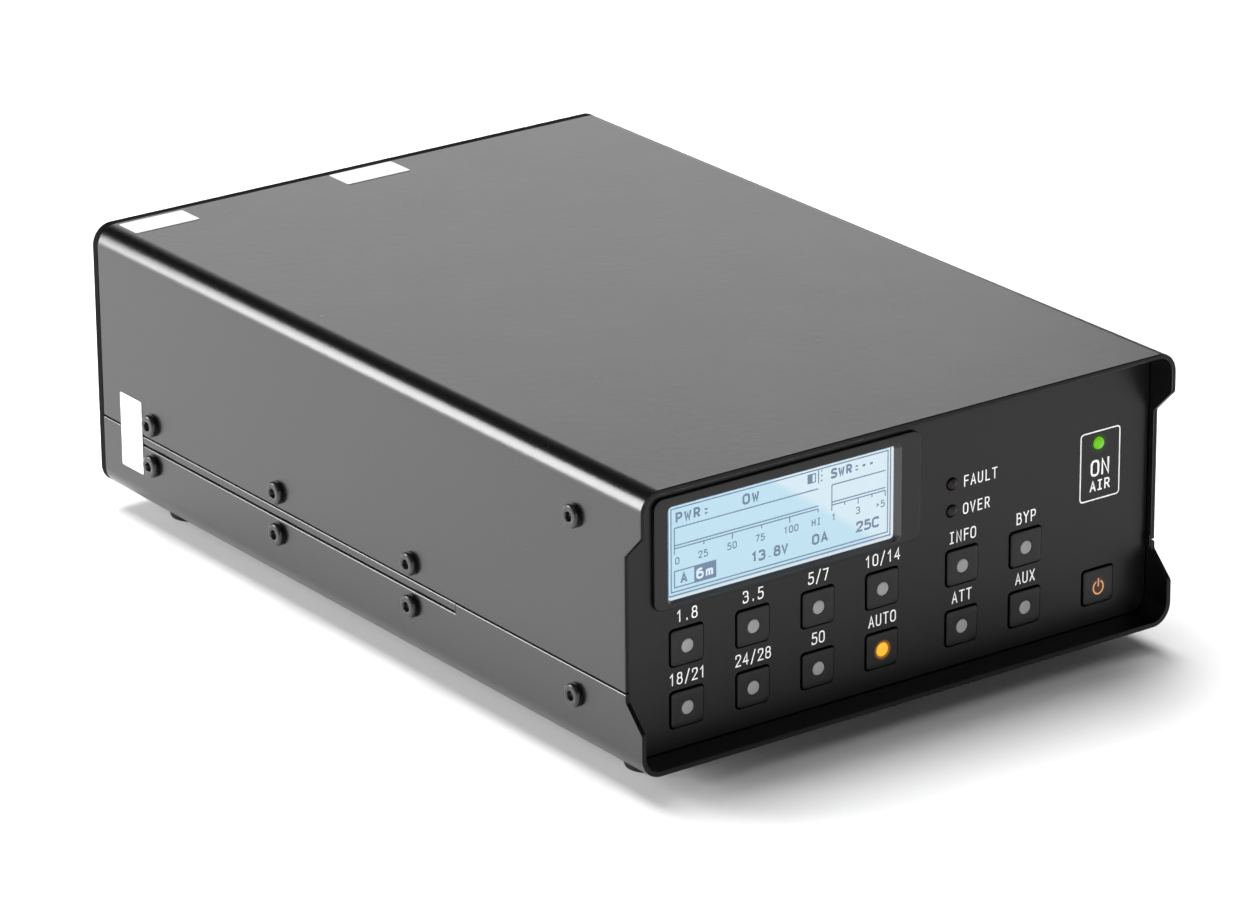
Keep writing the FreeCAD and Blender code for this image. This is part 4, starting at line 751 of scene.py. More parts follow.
def ring(radius: float, centre: Flat, count: int = 24) -> list[Flat]:
    """List the points of a circle in step with rounded_rectangle's."""
    turns = [math.pi + math.tau * (at + 0.5) / count for at in range(count)]
    return [(centre[0] + radius * math.cos(turn), centre[1] + radius * math.sin(turn))
            for turn in turns]


def loft(shape: bmesh.types.BMesh, loops: Sequence[Sequence[Vector]],
         round_trip: bool = False) -> None:
    """Join loops of as many points each into a skin.

    Args:
        shape: The shape that gets the skin.
        loops: The loops, in order.
        round_trip: Whether the last loop joins the first; if not, both ends are closed.
    """
    rows = [[shape.verts.new(point) for point in loop] for loop in loops]
    count = len(rows[0])
    pairs = list(zip(rows, rows[1:]))
    if round_trip:
        pairs.append((rows[-1], rows[0]))
    for first, second in pairs:
        for at in range(count):
            after = (at + 1) % count
            shape.faces.new((first[at], first[after], second[after], second[at]))
    if not round_trip:
        shape.faces.new(rows[0])
        shape.faces.new(reversed(rows[-1]))


def lofted(*solids: Sequence[Sequence[Vector]], smooth: bool = True,
           round_trip: bool = False) -> Mesh:
    """Make a mesh of one or more solids, each a skin over its own loops.

    Args:
        *solids: Each solid's loops, in order.
        smooth: Whether its curved parts are shaded smooth.
        round_trip: Whether each solid's last loop joins its first.

    Returns:
        The mesh.
    """
    shape = bmesh.new()
    for loops in solids:
        loft(shape, loops, round_trip)
    return from_bmesh(shape, smooth)


def at_depth(points: Sequence[Flat], depth: float) -> list[Vector]:
    """Stand flat points (x, z) upright at a depth behind the front lip."""
    return [spot(x, depth, z) for x, z in points]


def lathe(profile: Sequence[Flat], count: int = 32) -> list[list[Vector]]:
    """Turn a profile about the z axis.

    Args:
        profile: Points (radius, height), in millimetres.
        count: The number of points round.

    Returns:
        The loops, in metres about the origin.
    """
    turns = [math.tau * at / count for at in range(count)]
    return [[Vector((radius * math.cos(turn), radius * math.sin(turn), height)) * MM
             for turn in turns] for radius, height in profile]


def flat_plate(outer: Sequence[Flat], holes: Sequence[Sequence[Flat]], depth: float,
               thickness: float, edge: float) -> Mesh:
    """Cut an upright plate with holes, its edges rounded.

    Args:
        outer: Its outline (x, z).
        holes: The outlines of its holes.
        depth: How far its face lies behind the front lip.
        thickness: Its thickness.
        edge: The size of the rounded edges.

    Returns:
        The mesh, in the shared frame.
    """
    drawing = bpy.data.curves.new("plate", "CURVE")
    drawing.dimensions = "2D"
    drawing.fill_mode = "BOTH"
    drawing.extrude = (thickness / 2 - edge) * MM
    drawing.bevel_depth = edge * MM
    drawing.bevel_resolution = 2
    drawing.offset = -edge * MM
    for points in (outer, *holes):
        spline = drawing.splines.new("POLY")
        spline.points.add(len(points) - 1)
        for point, (x, z) in zip(spline.points, points):
            point.co = (x * MM, z * MM, 0.0, 1.0)
        spline.use_cyclic_u = True
    carrier = new_object("plate", drawing)
    graph = bpy.context.evaluated_depsgraph_get()
    mesh = bpy.data.meshes.new_from_object(carrier.evaluated_get(graph))
    bpy.data.objects.remove(carrier)
    mesh.transform(Matrix.Translation(spot(0, depth + thickness / 2, 0)) @ FRONT_PLANE)
    shape = bmesh.new()
    shape.from_mesh(mesh)
    bmesh.ops.remove_doubles(shape, verts=shape.verts, dist=MERGE)
    return from_bmesh(shape, smooth=False)


@cache
def copies_tree() -> Tree:
    """Build the tree that sets copies of a part on points, each along its point's axis.

    Returns:
        The tree, whose inputs are the part, the finish, and the seed and reach of the random turns.
    """
    tree = bpy.data.node_groups.new("copies_on_points", "GeometryNodeTree")
    tree.interface.new_socket("Geometry", in_out="INPUT", socket_type="NodeSocketGeometry")
    names = {
        "Part": "NodeSocketObject",
        "Seed": "NodeSocketInt",
        "Turn": "NodeSocketFloat",
        "Finish": "NodeSocketMaterial",
    }
    for name, kind in names.items():
        tree.interface.new_socket(name, in_out="INPUT", socket_type=kind)
    tree.interface.new_socket("Geometry", in_out="OUTPUT", socket_type="NodeSocketGeometry")
    given = add_node(tree, "NodeGroupInput").outputs
    part = add_node(tree, "GeometryNodeObjectInfo", {"Object": given["Part"], "As Instance": True})
    axis = add_node(tree, "GeometryNodeInputNamedAttribute", {"Name": "axis"},
                    data_type="FLOAT_VECTOR")
    aligned = add_node(tree, "FunctionNodeAlignRotationToVector", {
        "Vector": axis.outputs["Attribute"],
    }, axis="Z")
    spread = add_node(tree, "GeometryNodeInstanceOnPoints", {
        "Points": given["Geometry"],
        "Instance": part.outputs["Geometry"],
        "Rotation": aligned.outputs[0],
    })
    chance = add_node(tree, "FunctionNodeRandomValue", {
        "Max": given["Turn"],
        "Seed": given["Seed"],
    }, data_type="FLOAT")
    angle = add_node(tree, "ShaderNodeCombineXYZ", {"Z": chance.outputs["Value"]})
    spun = add_node(tree, "GeometryNodeRotateInstances", {
        "Instances": spread.outputs[0],
        "Rotation": angle.outputs[0],
        "Local Space": True,
    })
    real = add_node(tree, "GeometryNodeRealizeInstances", {"Geometry": spun.outputs[0]})
    dressed = add_node(tree, "GeometryNodeSetMaterial", {
        "Geometry": real.outputs[0],
        "Material": given["Finish"],
    })
    add_node(tree, "NodeGroupOutput", {"Geometry": dressed.outputs[0]})
    return tree


def copies_on_points(template: Mesh, places: Sequence[Vector], axes: Sequence[Vector],
                     finish: Finish, seed: int = 1, turned: bool = True) -> Mesh:
    """Set copies of one small part on points, each along its own axis, with Geometry Nodes.

    Args:
        template: The part, standing on the origin along z.
        places: Where the copies stand.
        axes: The way each one points.
        finish: Its finish.
        seed: The seed of the turns about the axes.
        turned: Whether each copy is turned by its own random angle.

    Returns:
        One mesh with all the copies.
    """
    points = bpy.data.meshes.new("places")
    points.from_pydata([tuple(place) for place in places], [], [])
    attribute = points.attributes.new("axis", "FLOAT_VECTOR", "POINT")
    for item, axis in zip(attribute.data, axes):
        item.vector = axis
    source = new_object("template", template)
    tree = copies_tree()
    values = {
        "Part": source,
        "Seed": seed,
        "Turn": math.tau if turned else 0.0,
        "Finish": finish.material(),
    }

    def modify(carrier: bpy.types.Object) -> None:
        """Add the tree and set its inputs by their identifiers."""
        modifier = carrier.modifiers.new("copies", "NODES")
        modifier.node_group = tree
        for item in tree.interface.items_tree:
            if item.item_type == "SOCKET" and item.in_out == "INPUT" and item.name in values:
                modifier[item.identifier] = values[item.name]

    mesh = baked(points, modify)
    bpy.data.objects.remove(source)
    return mesh


# --------------------------------------------------------------------------------------------
# Lettering
# --------------------------------------------------------------------------------------------

# The field on which a glyph is drawn.
GLYPH_WIDTH, GLYPH_HEIGHT = 6.0, 10.0
# Each glyph is a set of strokes on that field. A point is x, y and, where the stroke bends round
# it, a radius. A stroke that ends with None closes on its start.
GLYPHS: dict[str, list[list]] = {
    "0": [[(0, 0, 3), (6, 0, 3), (6, 10, 3), (0, 10, 3), None]],
    "1": [[(0.9, 7.7), (3.4, 10), (3.4, 0)]],
    "2": [[(0.2, 7.2), (0.2, 10, 2.9), (5.8, 10, 2.9), (5.8, 6.4, 2.2), (0, 0), (6, 0)]],
    "3": [[(0.3, 8.2), (0.3, 10, 1.8), (5.6, 10, 2.5), (5.6, 5.4, 2.4), (2.2, 5.4)],
          [(2.2, 5.4), (6, 5.4, 2.6), (6, 0, 2.7), (0.1, 0, 2.2), (0.1, 1.9)]],
    "4": [[(4.5, 0), (4.5, 10), (0, 2.8), (6.2, 2.8)]],
    "5": [[(5.5, 10), (0.9, 10), (0.7, 5.9), (6, 6.2, 2.8), (6, 0, 2.9), (0.1, 0, 2.2),
           (0.1, 1.7)]],
    "6": [[(5.3, 9.6), (3.6, 10.1, 1), (0, 9, 3.4), (0, 0, 2.9), (6, 0, 2.9), (6, 6.2, 2.9),
           (0.5, 6.2, 2.6), (0.1, 3.2)]],
    "7": [[(0, 10), (6, 10), (2.2, 0)]],
    "8": [[(0, 0, 2.7), (6, 0, 2.7), (6, 5.4, 2.7), (0, 5.4, 2.7), None],
          [(0.5, 5.4, 2.3), (5.5, 5.4, 2.3), (5.5, 10, 2.3), (0.5, 10, 2.3), None]],
    ".": [[(3, 0), (3, 1.1)]],
    ":": [[(3, 0.6), (3, 2.6)], [(3, 5.2), (3, 7.2)],
          [(3.9, 0.6), (3.9, 2.6)], [(3.9, 5.2), (3.9, 7.2)]],
    "/": [[(0.6, -1.2), (5.4, 11)]],
    "-": [[(1.2, 4.6), (4.8, 4.6)]],
    ">": [[(1.6, 7.2), (4.6, 4.8), (1.6, 2.4)]],
    "A": [[(0, 0), (3, 10), (6, 0)], [(1.1, 3.3), (4.9, 3.3)]],
    "B": [[(0.5, 5.5), (0.5, 10), (5.3, 10, 2.3), (5.3, 5.5, 2.2), (0.5, 5.5), (6, 5.5, 2.7),
           (6, 0, 2.7), (0.5, 0), (0.5, 5.5)]],
    "C": [[(5.9, 8.3), (5.9, 10, 1.6), (0, 10, 3.2), (0, 0, 3.2), (5.9, 0, 1.8), (5.9, 1.7)]],
    "E": [[(5.7, 10), (0.6, 10), (0.6, 0), (5.9, 0)], [(0.6, 5.3), (5.1, 5.3)]],
    "F": [[(5.9, 10), (0.9, 10), (0.9, 0)], [(0.9, 5.2), (5.2, 5.2)]],
    "H": [[(0.3, 0), (0.3, 10)], [(5.7, 0), (5.7, 10)], [(0.3, 5.2), (5.7, 5.2)]],
    "I": [[(3, 0), (3, 10)], [(1, 0), (5, 0)], [(1, 10), (5, 10)]],
    "L": [[(0.9, 10), (0.9, 0), (5.9, 0)]],
    "N": [[(0.4, 0), (0.4, 10), (5.6, 0), (5.6, 10)]],
    "O": [[(0, 0, 3), (6, 0, 3), (6, 10, 3), (0, 10, 3), None]],
    "P": [[(0.6, 0), (0.6, 10), (5.9, 10, 2.8), (5.9, 4.5, 2.7), (0.6, 4.5)]],
    "R": [[(0.6, 0), (0.6, 10), (5.7, 10, 2.7), (5.7, 4.7, 2.6), (0.6, 4.7)], [(3.2, 4.7), (6, 0)]],
    "S": [[(5.5, 8.3), (5.5, 10, 1.8), (0.3, 10, 2.6), (0.3, 5.3, 2.4), (5.9, 5.1, 2.5),
           (5.9, 0, 2.6), (0.1, 0, 2.1), (0.1, 1.7)]],
    "T": [[(0, 10), (6, 10)], [(3, 10), (3, 0)]],
    "U": [[(0.2, 10), (0.2, 0, 3), (5.8, 0, 3), (5.8, 10)]],
    "V": [[(0, 10), (3, 0), (6, 10)]],
    "W": [[(0, 10), (1.5, 0), (3, 7), (4.5, 0), (6, 10)]],
    "X": [[(0.2, 0), (5.8, 10)], [(0.2, 10), (5.8, 0)]],
    "Y": [[(0, 10), (3, 5), (6, 10)], [(3, 5), (3, 0)]],
    "m": [[(0, 0), (0, 6.6)], [(0, 5), (0, 6.6, 1), (3, 6.6, 1), (3, 0)],
          [(3, 5), (3, 6.6, 1), (6, 6.6, 1), (6, 0)]],
}

# How far round a stroke's round end its stations lie, in degrees.
CAP_ANGLES = (25, 50, 75, 88)


@dataclass(frozen=True)
class Word:
    """A word that the pen writes.

    Attributes:
        text: Its letters.
        centre: The x of its middle.
        base: The z of its base line.
        height: The height of its capitals, from middle line to middle line.
        pitch: The distance from letter to letter.
        breadth: A letter's breadth as a share of its height.
        width: The strokes' own width, if it differs from the pen's.
    """

    text: str
    centre: float
    base: float
    height: float
    pitch: float
    breadth: float = 0.51
    width: float | None = None


@dataclass
class Pen:
    """Draws strokes of an even width on an upright plane, as thin, slightly crowned solids.

    Attributes:
        depth: How far the face of the strokes lies behind the front lip.
        film: The thickness of the film, in millimetres.
        width: The width of a stroke.
        round_ends: Whether its open ends are round.
        crown: How deep a stroke's rims lie, as a share of the film.
        miter: The least cosine of half a turn that widens a corner, so that its point stays short.
        shape: What has been drawn so far.
    """

    depth: float
    film: float
    width: float
    round_ends: bool = True
    crown: float = 0.7
    miter: float = 0.5
    shape: bmesh.types.BMesh = field(default_factory=bmesh.new)

    def stroke(self, points: Sequence[Flat], closed: bool = False,
               width: float | None = None) -> None:
        """Draw one stroke.

        Args:
            points: Its middle line (x, z).
            closed: Whether its end joins its start.
            width: Its own width, if it differs from the pen's.
        """
        half = (width or self.width) / 2
        line = [Vector(point) for point in points]
        stations = []
        count = len(line)
        for at, here in enumerate(line):
            before = line[at - 1] if closed or at else here
            after = line[(at + 1) % count] if closed or at < count - 1 else here
            arrive = (here - before).normalized() if here != before else (after - here).normalized()
            leave = (after - here).normalized() if after != here else arrive
            way = (arrive + leave).normalized() if (arrive + leave).length > 1e-6 else leave
            spread = max(way.dot(leave), self.miter)
            stations.append((here, Vector((-way.y, way.x)), half / spread))
        if not closed and self.round_ends:
            stations = self.cap(stations[0], -1)[::-1] + stations + self.cap(stations[-1], 1)
        rim, back = self.depth + self.crown * self.film, self.depth + self.film
        loops = []
        for here, side, reach in stations:
            left, right = here + side * reach, here - side * reach
            loops.append([spot(left.x, rim, left.y), spot(here.x, self.depth, here.y),
                          spot(right.x, rim, right.y), spot(right.x, back, right.y),
                          spot(left.x, back, left.y)])
        loft(self.shape, loops, round_trip=closed)

    @staticmethod
    def cap(station: tuple[Vector, Vector, float], way: int) -> list[tuple[Vector, Vector, float]]:
        """Round one end of a stroke.

        Args:
            station: The end's point, side direction and half width.
            way: 1 at the end, -1 at the start.

        Returns:
            The extra stations, outwards.
        """
        here, side, half = station
        ahead = Vector((side.y, -side.x)) * way
        turns = [math.radians(angle) for angle in CAP_ANGLES]
        return [(here + ahead * half * math.sin(turn), side, half * math.cos(turn))
                for turn in turns]

    def box(self, left: float, low: float, right: float, high: float) -> None:
        """Fill a rectangle."""
        middle = (left + right) / 2
        self.stroke([(middle, low), (middle, high)], width=right - left)

    def frame(self, left: float, low: float, right: float, high: float,
              radius: float = 0.0) -> None:
        """Draw a rectangle's outline, its corners rounded by a radius."""
        corners = [(x, z, radius)
                   for x, z in ((left, low), (right, low), (right, high), (left, high))]
        self.stroke(rounded(corners, closed=True), closed=True)

    def write(self, *words: Word) -> None:
        """Write words, each with evenly spaced letters.

        Args:
            *words: The words.
        """
        for word in words:
            across, up = word.height * word.breadth / GLYPH_WIDTH, word.height / GLYPH_HEIGHT
            start = word.centre - word.pitch * (len(word.text) - 1) / 2 - GLYPH_WIDTH / 2 * across
            for at, letter in enumerate(word.text):
                for strokes in GLYPHS[letter]:
                    closed = strokes[-1] is None
                    line = rounded(strokes[:-1] if closed else strokes, closed)
                    self.stroke([(start + at * word.pitch + x * across, word.base + y * up)
                                 for x, y in line], closed, word.width)

    def mesh(self) -> Mesh:
        """Give what was drawn as a mesh."""
        return from_bmesh(self.shape, smooth=False)


# --------------------------------------------------------------------------------------------
# The case
# --------------------------------------------------------------------------------------------

# The screws in each side (y, z): two near the front, then three pairs along the heat sink's rib.
SIDE_SCREWS = [(25.5, 56.1), (25.5, 12.6),
               *((y, z) for y in (91.5, 148.5, 205.5) for z in (23.3, 12.6))]
# A rubber foot's profile (radius, height) under the case, from its top round to the well in it.
FOOT_PROFILE = [(0.01, 0.0), (5.7, 0.0), (6.1, -0.4), (6.05, -1.2), (5.3, -5.4), (5.1, -5.85),
                (4.7, -6.05), (3.6, -6.05), (3.3, -5.75), (3.3, -3.2), (0.01, -3.0)]
# The stickers on top, each with its left, front, width and length.
TOP_STICKERS = ((-72.0, 218.4, 18.5, 8.4), (-9.1, 218.6, 18.9, 9.0))
# The one on the left side: its length, height, and the middle (y, z).
SIDE_STICKER = (10.0, 19.3, (215.0, 18.45))


@dataclass
class Case:
    """The two folded covers, the screws in their sides, the feet and the stickers.

    Attributes:
        width: The width over the sides.
        height: The height without the feet.
        cover_depth: The depth of the covers.
        corner: The radius of the long edges.
        bend_faces: How many faces go round a long edge.
        sheet: The thickness of the sheet.
        edge: The rounding of its cut edges.
        seam_edge: The rounding of the edges along the seam, where the sheet shines.
        seam: The height of the seam's lower lip.
        seam_gap: The width of the seam.
        notch_depth: How far back the notch in each side's front edge goes.
        notch_top: The height where its upper slant starts.
        notch_bottom: The height where its lower slant ends.
        notch_blend: The rounding of its corners.
        rebate: The height of the lower cover's edge along the heat sink.
        rebate_row: How far above that edge its sides have one more row of points.
        rebate_start: Where that edge starts.
        rebate_end: Where it ends.
        foot_inset: How far the feet's middles lie in from the sides.
        foot_places: The depths of the feet's middles.
        film: The thickness of the stickers.
        film_corner: The rounding of their corners.
    """

    width: float = 155.0
    height: float = 68.8
    cover_depth: float = 228.4
    corner: float = 5.3
    bend_faces: int = 12
    sheet: float = 1.2
    edge: float = 0.3
    seam_edge: float = 0.5
    seam: float = SEAM_HEIGHT
    seam_gap: float = 0.3
    notch_depth: float = 6.2
    notch_top: float = 58.4
    notch_bottom: float = 11.0
    notch_blend: float = 1.2
    rebate: float = 16.65
    rebate_row: float = 1.2
    rebate_start: float = 73.15
    rebate_end: float = 214.15
    foot_inset: float = 14.7
    foot_places: tuple[float, float] = (18.3, 212.2)
    film: float = 0.12
    film_corner: float = 0.5

    def build(self) -> None:
        """Make the covers and all that sits on them."""
        self.upper_cover()
        self.lower_cover()
        self.screws()
        self.feet()
        self.stickers()

    def folded(self, side: Sequence[Flat], level: float, rise: int, columns: Sequence[float],
               gap_from: float | None = None) -> Mesh:
        """Fold a sheet: up one side, round the long edges and down the other side.

        Args:
            side: The side's front edge (y, z), from the free edge towards the flat.
            level: The height of the flat.
            rise: 1 for a cover whose flat is on top, -1 for one below.
            columns: The depths where the sheet is divided, the last at its back.
            gap_from: The height above which the sheet is open between the middle columns.

        Returns:
            The outer skin.
        """
        half = self.width / 2
        stations = [(-half, z, y) for y, z in side]
        for step in range(self.bend_faces + 1):
            turn = math.radians(90 * step / self.bend_faces)
            stations.append((-half + self.corner * (1 - math.cos(turn)),
                             level - rise * self.corner * (1 - math.sin(turn)), 0.0))
        stations += [(-x, z, y) for x, z, y in reversed(stations)]
        shape = bmesh.new()
        rows = [[shape.verts.new(spot(x, depth, z)) for depth in (y, *columns)]
                for x, z, y in stations]
        for first, second in zip(rows, rows[1:]):
            middle = (first[0].co.z + second[0].co.z) / 2
            for at in range(len(columns)):
                opened = gap_from is not None and at == 1 and middle > spot(0, 0, gap_from).z
                if not opened:
                    shape.faces.new((first[at], first[at + 1], second[at + 1], second[at]))
        bmesh.ops.remove_doubles(shape, verts=shape.verts, dist=MERGE)
        shape.normal_update()
        flat = max(shape.faces, key=lambda face: face.calc_area() * abs(face.normal.z))
        if flat.normal.z * rise < 0:
            bmesh.ops.reverse_faces(shape, faces=shape.faces)
        loose = [vert for vert in shape.verts if not vert.link_faces]
        bmesh.ops.delete(shape, geom=loose, context="VERTS")
        return shaded(plain_mesh(shape))

    def thickened(self, mesh: Mesh, cutter: bpy.types.Object | None = None) -> Mesh:
        """Give a skin the sheet's thickness inwards, and round its cut edges.

        Args:
            mesh: The outer skin.
            cutter: What is cut out of it.

        Returns:
            The finished mesh.
        """
        def modify(carrier: bpy.types.Object) -> None:
            """Add the thickness and the cuts."""
            wall = carrier.modifiers.new("wall", "SOLIDIFY")
            wall.thickness = self.sheet * MM
            wall.offset = -1.0
            wall.use_even_offset = True
            if cutter:
                cuts = carrier.modifiers.new("cuts", "BOOLEAN")
                cuts.operation = "DIFFERENCE"
                cuts.object = cutter

        return edged(self.seam_rounded(baked(mesh, modify)), self.edge, 3)

    def seam_rounded(self, mesh: Mesh) -> Mesh:
        """Round the outer edges at the seam and at the rebate.

        Args:
            mesh: The cover, with its thickness.

        Returns:
            The mesh with those edges rounded.
        """
        half = spot(self.width / 2, 0, 0).x - NEAR
        levels = (spot(0, 0, self.seam).z, spot(0, 0, self.rebate).z)
        return rounded_along(mesh, self.seam_edge, lambda place: abs(place.x) > half and min(
            abs(place.z - level) for level in levels) < NEAR)

    def cover_side(self, free_edge: float, slant: float, rise: int) -> list[Flat]:
        """Draw the front edge of a cover's side: along the notch, its slant and the lip.

        Args:
            free_edge: The height of the side's free edge.
            slant: The height of the slant's end at the lip.
            rise: 1 for a cover whose flat is on top, -1 for one below.

        Returns:
            The points (y, z), from the free edge to the rounded long edge.
        """
        flat = self.height - self.corner if rise > 0 else self.corner
        return rounded([
            (self.notch_depth, free_edge),
            (self.notch_depth, slant - rise * self.notch_depth, self.notch_blend),
            (0.0, slant, self.notch_blend),
            (0.0, flat),
        ], closed=False)[:-1]

    def upper_cover(self) -> None:
        """Make the upper cover, notched at the front of its sides."""
        side = self.cover_side(self.seam + self.seam_gap, self.notch_top, 1)
        mesh = self.thickened(self.folded(side, self.height, 1, [self.cover_depth]))
        self.finish_cover(mesh, "cover_upper_sheet", "upper_cover")

    def lower_cover(self) -> None:
        """Make the lower cover, with the rebate for the sink's rib and the air slots below."""
        side = self.cover_side(self.seam, self.notch_bottom, -1)
        side.insert(1, (self.notch_depth, self.rebate + self.rebate_row))
        at_rebate = (self.notch_front(self.rebate), self.rebate)
        side = [*(point for point in side if point[1] > self.rebate), at_rebate,
                *(point for point in side if point[1] < self.rebate)]
        columns = [self.rebate_start, self.rebate_end, self.cover_depth]
        slots = AirSlots().cutter()
        mesh = self.thickened(self.folded(side, 0.0, -1, columns, self.rebate), slots)
        bpy.data.objects.remove(slots)
        self.finish_cover(mesh, "cover_lower_sheet", "lower_cover")

    def finish_cover(self, mesh: Mesh, name: str, node: str) -> None:
        """Make a cover a piece, with a thinner coat on its cut edges.

        Args:
            mesh: Its mesh.
            name: The piece's name.
            node: The frame's node that it replaces.
        """
        finish_piece(second_finish(mesh, self.is_cut_edge), name, "case",
                     POWDER_COAT, [node], LIP_EDGE)

    def is_cut_edge(self, middle: Vector, normal: Vector) -> bool:
        """Tell whether a face belongs to one of the sheet's cut edges: in front or at the seam."""
        at_front = middle.y < spot(0, self.notch_depth + 1, 0).y and normal.y < -FACING
        at_seam = abs(middle.z - spot(0, 0, self.seam).z) < 0.5 * MM and abs(normal.z) > FACING
        return at_front or at_seam

    def notch_front(self, height: float) -> float:
        """Give the depth of the notch's edge at a height near its lower slant."""
        return min(self.notch_depth, max(0.0, height - self.notch_bottom))

    def screws(self) -> None:
        """Set the button-head screws into the sides."""
        sides = [(side, place) for side in (-1, 1) for place in SIDE_SCREWS]
        spots = [spot(side * self.width / 2, y, z) for side, (y, z) in sides]
        axes = [Vector((side, 0, 0)) for side, _ in sides]
        mesh = copies_on_points(ButtonScrew().head(), spots, axes, BLACK_OXIDE, seed=7)
        finish_piece(mesh, "side_screw_heads", "case", BLACK_OXIDE,
                     ["case_screws"])

    def feet(self) -> None:
        """Stand the case on its four rubber feet."""
        foot = edged(lofted(lathe(FOOT_PROFILE, 40)), 0.05)
        half = self.width / 2 - self.foot_inset
        spots = [spot(side * half, y, 0) for side in (-1, 1) for y in self.foot_places]
        mesh = copies_on_points(foot, spots, [UPWARDS] * len(spots), RUBBER, turned=False)
        finish_piece(mesh, "rubber_feet", "case", RUBBER, ["feet"])

    def stickers(self) -> None:
        """Lay the three blank stickers: two on top at the back, one low on the left side."""
        half = self.width / 2
        films = []
        for left, front, wide, long in TOP_STICKERS:
            centre = (left + wide / 2, front + long / 2)
            points = rounded_rectangle(wide, long, self.film_corner, centre)
            films.append([[spot(x, y, level) for x, y in points]
                          for level in (self.height, self.height + self.film)])
        long, tall, centre = SIDE_STICKER
        points = rounded_rectangle(long, tall, self.film_corner, centre)
        films.append([[spot(x, y, z) for y, z in points] for x in (-half, -half - self.film)])
        finish_piece(lofted(*films, smooth=False), "blank_stickers", "case",
                     LABEL_PAPER, ["stickers"])


@dataclass
class AirSlots:
    """The row of air slots in the floor of the lower cover.

    Attributes:
        count: How many there are.
        pitch: The distance from slot to slot.
        width: A slot's width.
        length: A slot's length.
        start: Where they start.
        reach: How far the cutting solids reach above and below the floor.
    """

    count: int = 11
    pitch: float = 9.0
    width: float = 3.0
    length: float = 32.0
    start: float = 40.0
    reach: float = 3.0

    def cutter(self) -> bpy.types.Object:
        """Make one solid per slot, for cutting, all copies of one."""
        # The ends are a hair less than half circles, so that no two of their points meet.
        outline = rounded_rectangle(self.width, self.length, self.width / 2.01)
        template = lofted([[Vector((x, y, level)) * MM for x, y in outline]
                           for level in (-self.reach, self.reach)], smooth=False)
        middle = (self.count - 1) / 2
        places = [spot((at - middle) * self.pitch, self.start + self.length / 2, 0)
                  for at in range(self.count)]
        return new_object("slots", copies_on_points(template, places, [UPWARDS] * self.count,
                                                    CUT_EDGE, turned=False))


@dataclass
class ButtonScrew:
    """A low button-head screw with a hexagon socket.

    Attributes:
        radius: The head's radius.
        height: The head's height.
        shoulder: The height where its dome starts, as a share of that.
        bore: The radius of the hollow at the head's foot.
        mouth: The radius of the flat ring's inner edge, round the socket.
        socket: The socket's width across its flats.
        depth: The socket's depth.
        count: The number of points round the head.
    """

    radius: float = 2.85
    height: float = 1.5
    shoulder: float = 0.86
    bore: float = 1.4
    mouth: float = 1.28
    socket: float = 2.3
    depth: float = 1.1
    count: int = 48

    def hexagon(self, level: float) -> list[Vector]:
        """Lay the socket's outline with as many points as the head's circles.

        Args:
            level: Its height.

        Returns:
            The loop, in metres.
        """
        loop = []
        sixth = math.pi / 3
        for at in range(self.count):
            angle = math.tau * at / self.count
            near = (angle + sixth / 2) % sixth - sixth / 2
            reach = self.socket / 2 / math.cos(near)
            loop.append(Vector((reach * math.cos(angle), reach * math.sin(angle), level)) * MM)
        return loop

    def head(self) -> Mesh:
        """Make the head, standing on the origin."""
        radius, top = self.radius, self.height
        dome = self.shoulder * top
        profile = [(self.bore, 0.0), (radius, 0.0), (radius, dome - 0.35), (radius - 0.14, dome),
                   (radius - 0.4, top - 0.05), (radius - 0.7, top), (self.mouth, top)]
        loops = [*lathe(profile, self.count), self.hexagon(top - 0.1),
                 self.hexagon(top - self.depth),
                 *lathe([(0.05, top - self.depth - 0.25)], self.count)]
        return edged(lofted(loops), 0.03, 1, 50.0)


# --------------------------------------------------------------------------------------------
# The front
# --------------------------------------------------------------------------------------------

KEY_COLUMNS = (-59.2, -40.6, -22.0, -3.4)
UPPER_ROW, LOWER_ROW = 26.0, 10.9
KEY_PLACES: dict[str, Flat] = {
    "1_8": (KEY_COLUMNS[0], UPPER_ROW),
    "3_5": (KEY_COLUMNS[1], UPPER_ROW),
    "5_7": (KEY_COLUMNS[2], UPPER_ROW),
    "10_14": (KEY_COLUMNS[3], UPPER_ROW),
    "18_21": (KEY_COLUMNS[0], LOWER_ROW),
    "24_28": (KEY_COLUMNS[1], LOWER_ROW),
    "50": (KEY_COLUMNS[2], LOWER_ROW),
    "auto": (KEY_COLUMNS[3], LOWER_ROW),
    "info": (20.1, UPPER_ROW),
    "attenuator": (20.1, LOWER_ROW),
    "bypass": (39.1, UPPER_ROW),
    "auxiliary": (39.1, LOWER_ROW),
    "power": (61.4, LOWER_ROW),
}
KEY_LEGENDS = {
    "1_8": "1.8",
    "3_5": "3.5",
    "5_7": "5/7",
    "10_14": "10/14",
    "18_21": "18/21",
    "24_28": "24/28",
    "50": "50",
    "auto": "AUTO",
    "info": "INFO",
    "attenuator": "ATT",
    "bypass": "BYP",
    "auxiliary": "AUX",
}
FAULT_LAMP, OVERDRIVE_LAMP, AIR_LAMP = (16.95, 46.9), (16.95, 40.2), (61.05, 46.9)
LAMP_HOLE = 1.6
# The holes for a key and for the display: width, height and corner radius.
KEY_HOLE, DISPLAY_HOLE = (9.7, 9.3, 1.1), (75.0, 26.3, 2.5)
BEZEL_CENTRE = (-30.85, 49.5)
PANEL_FACE = 8.0


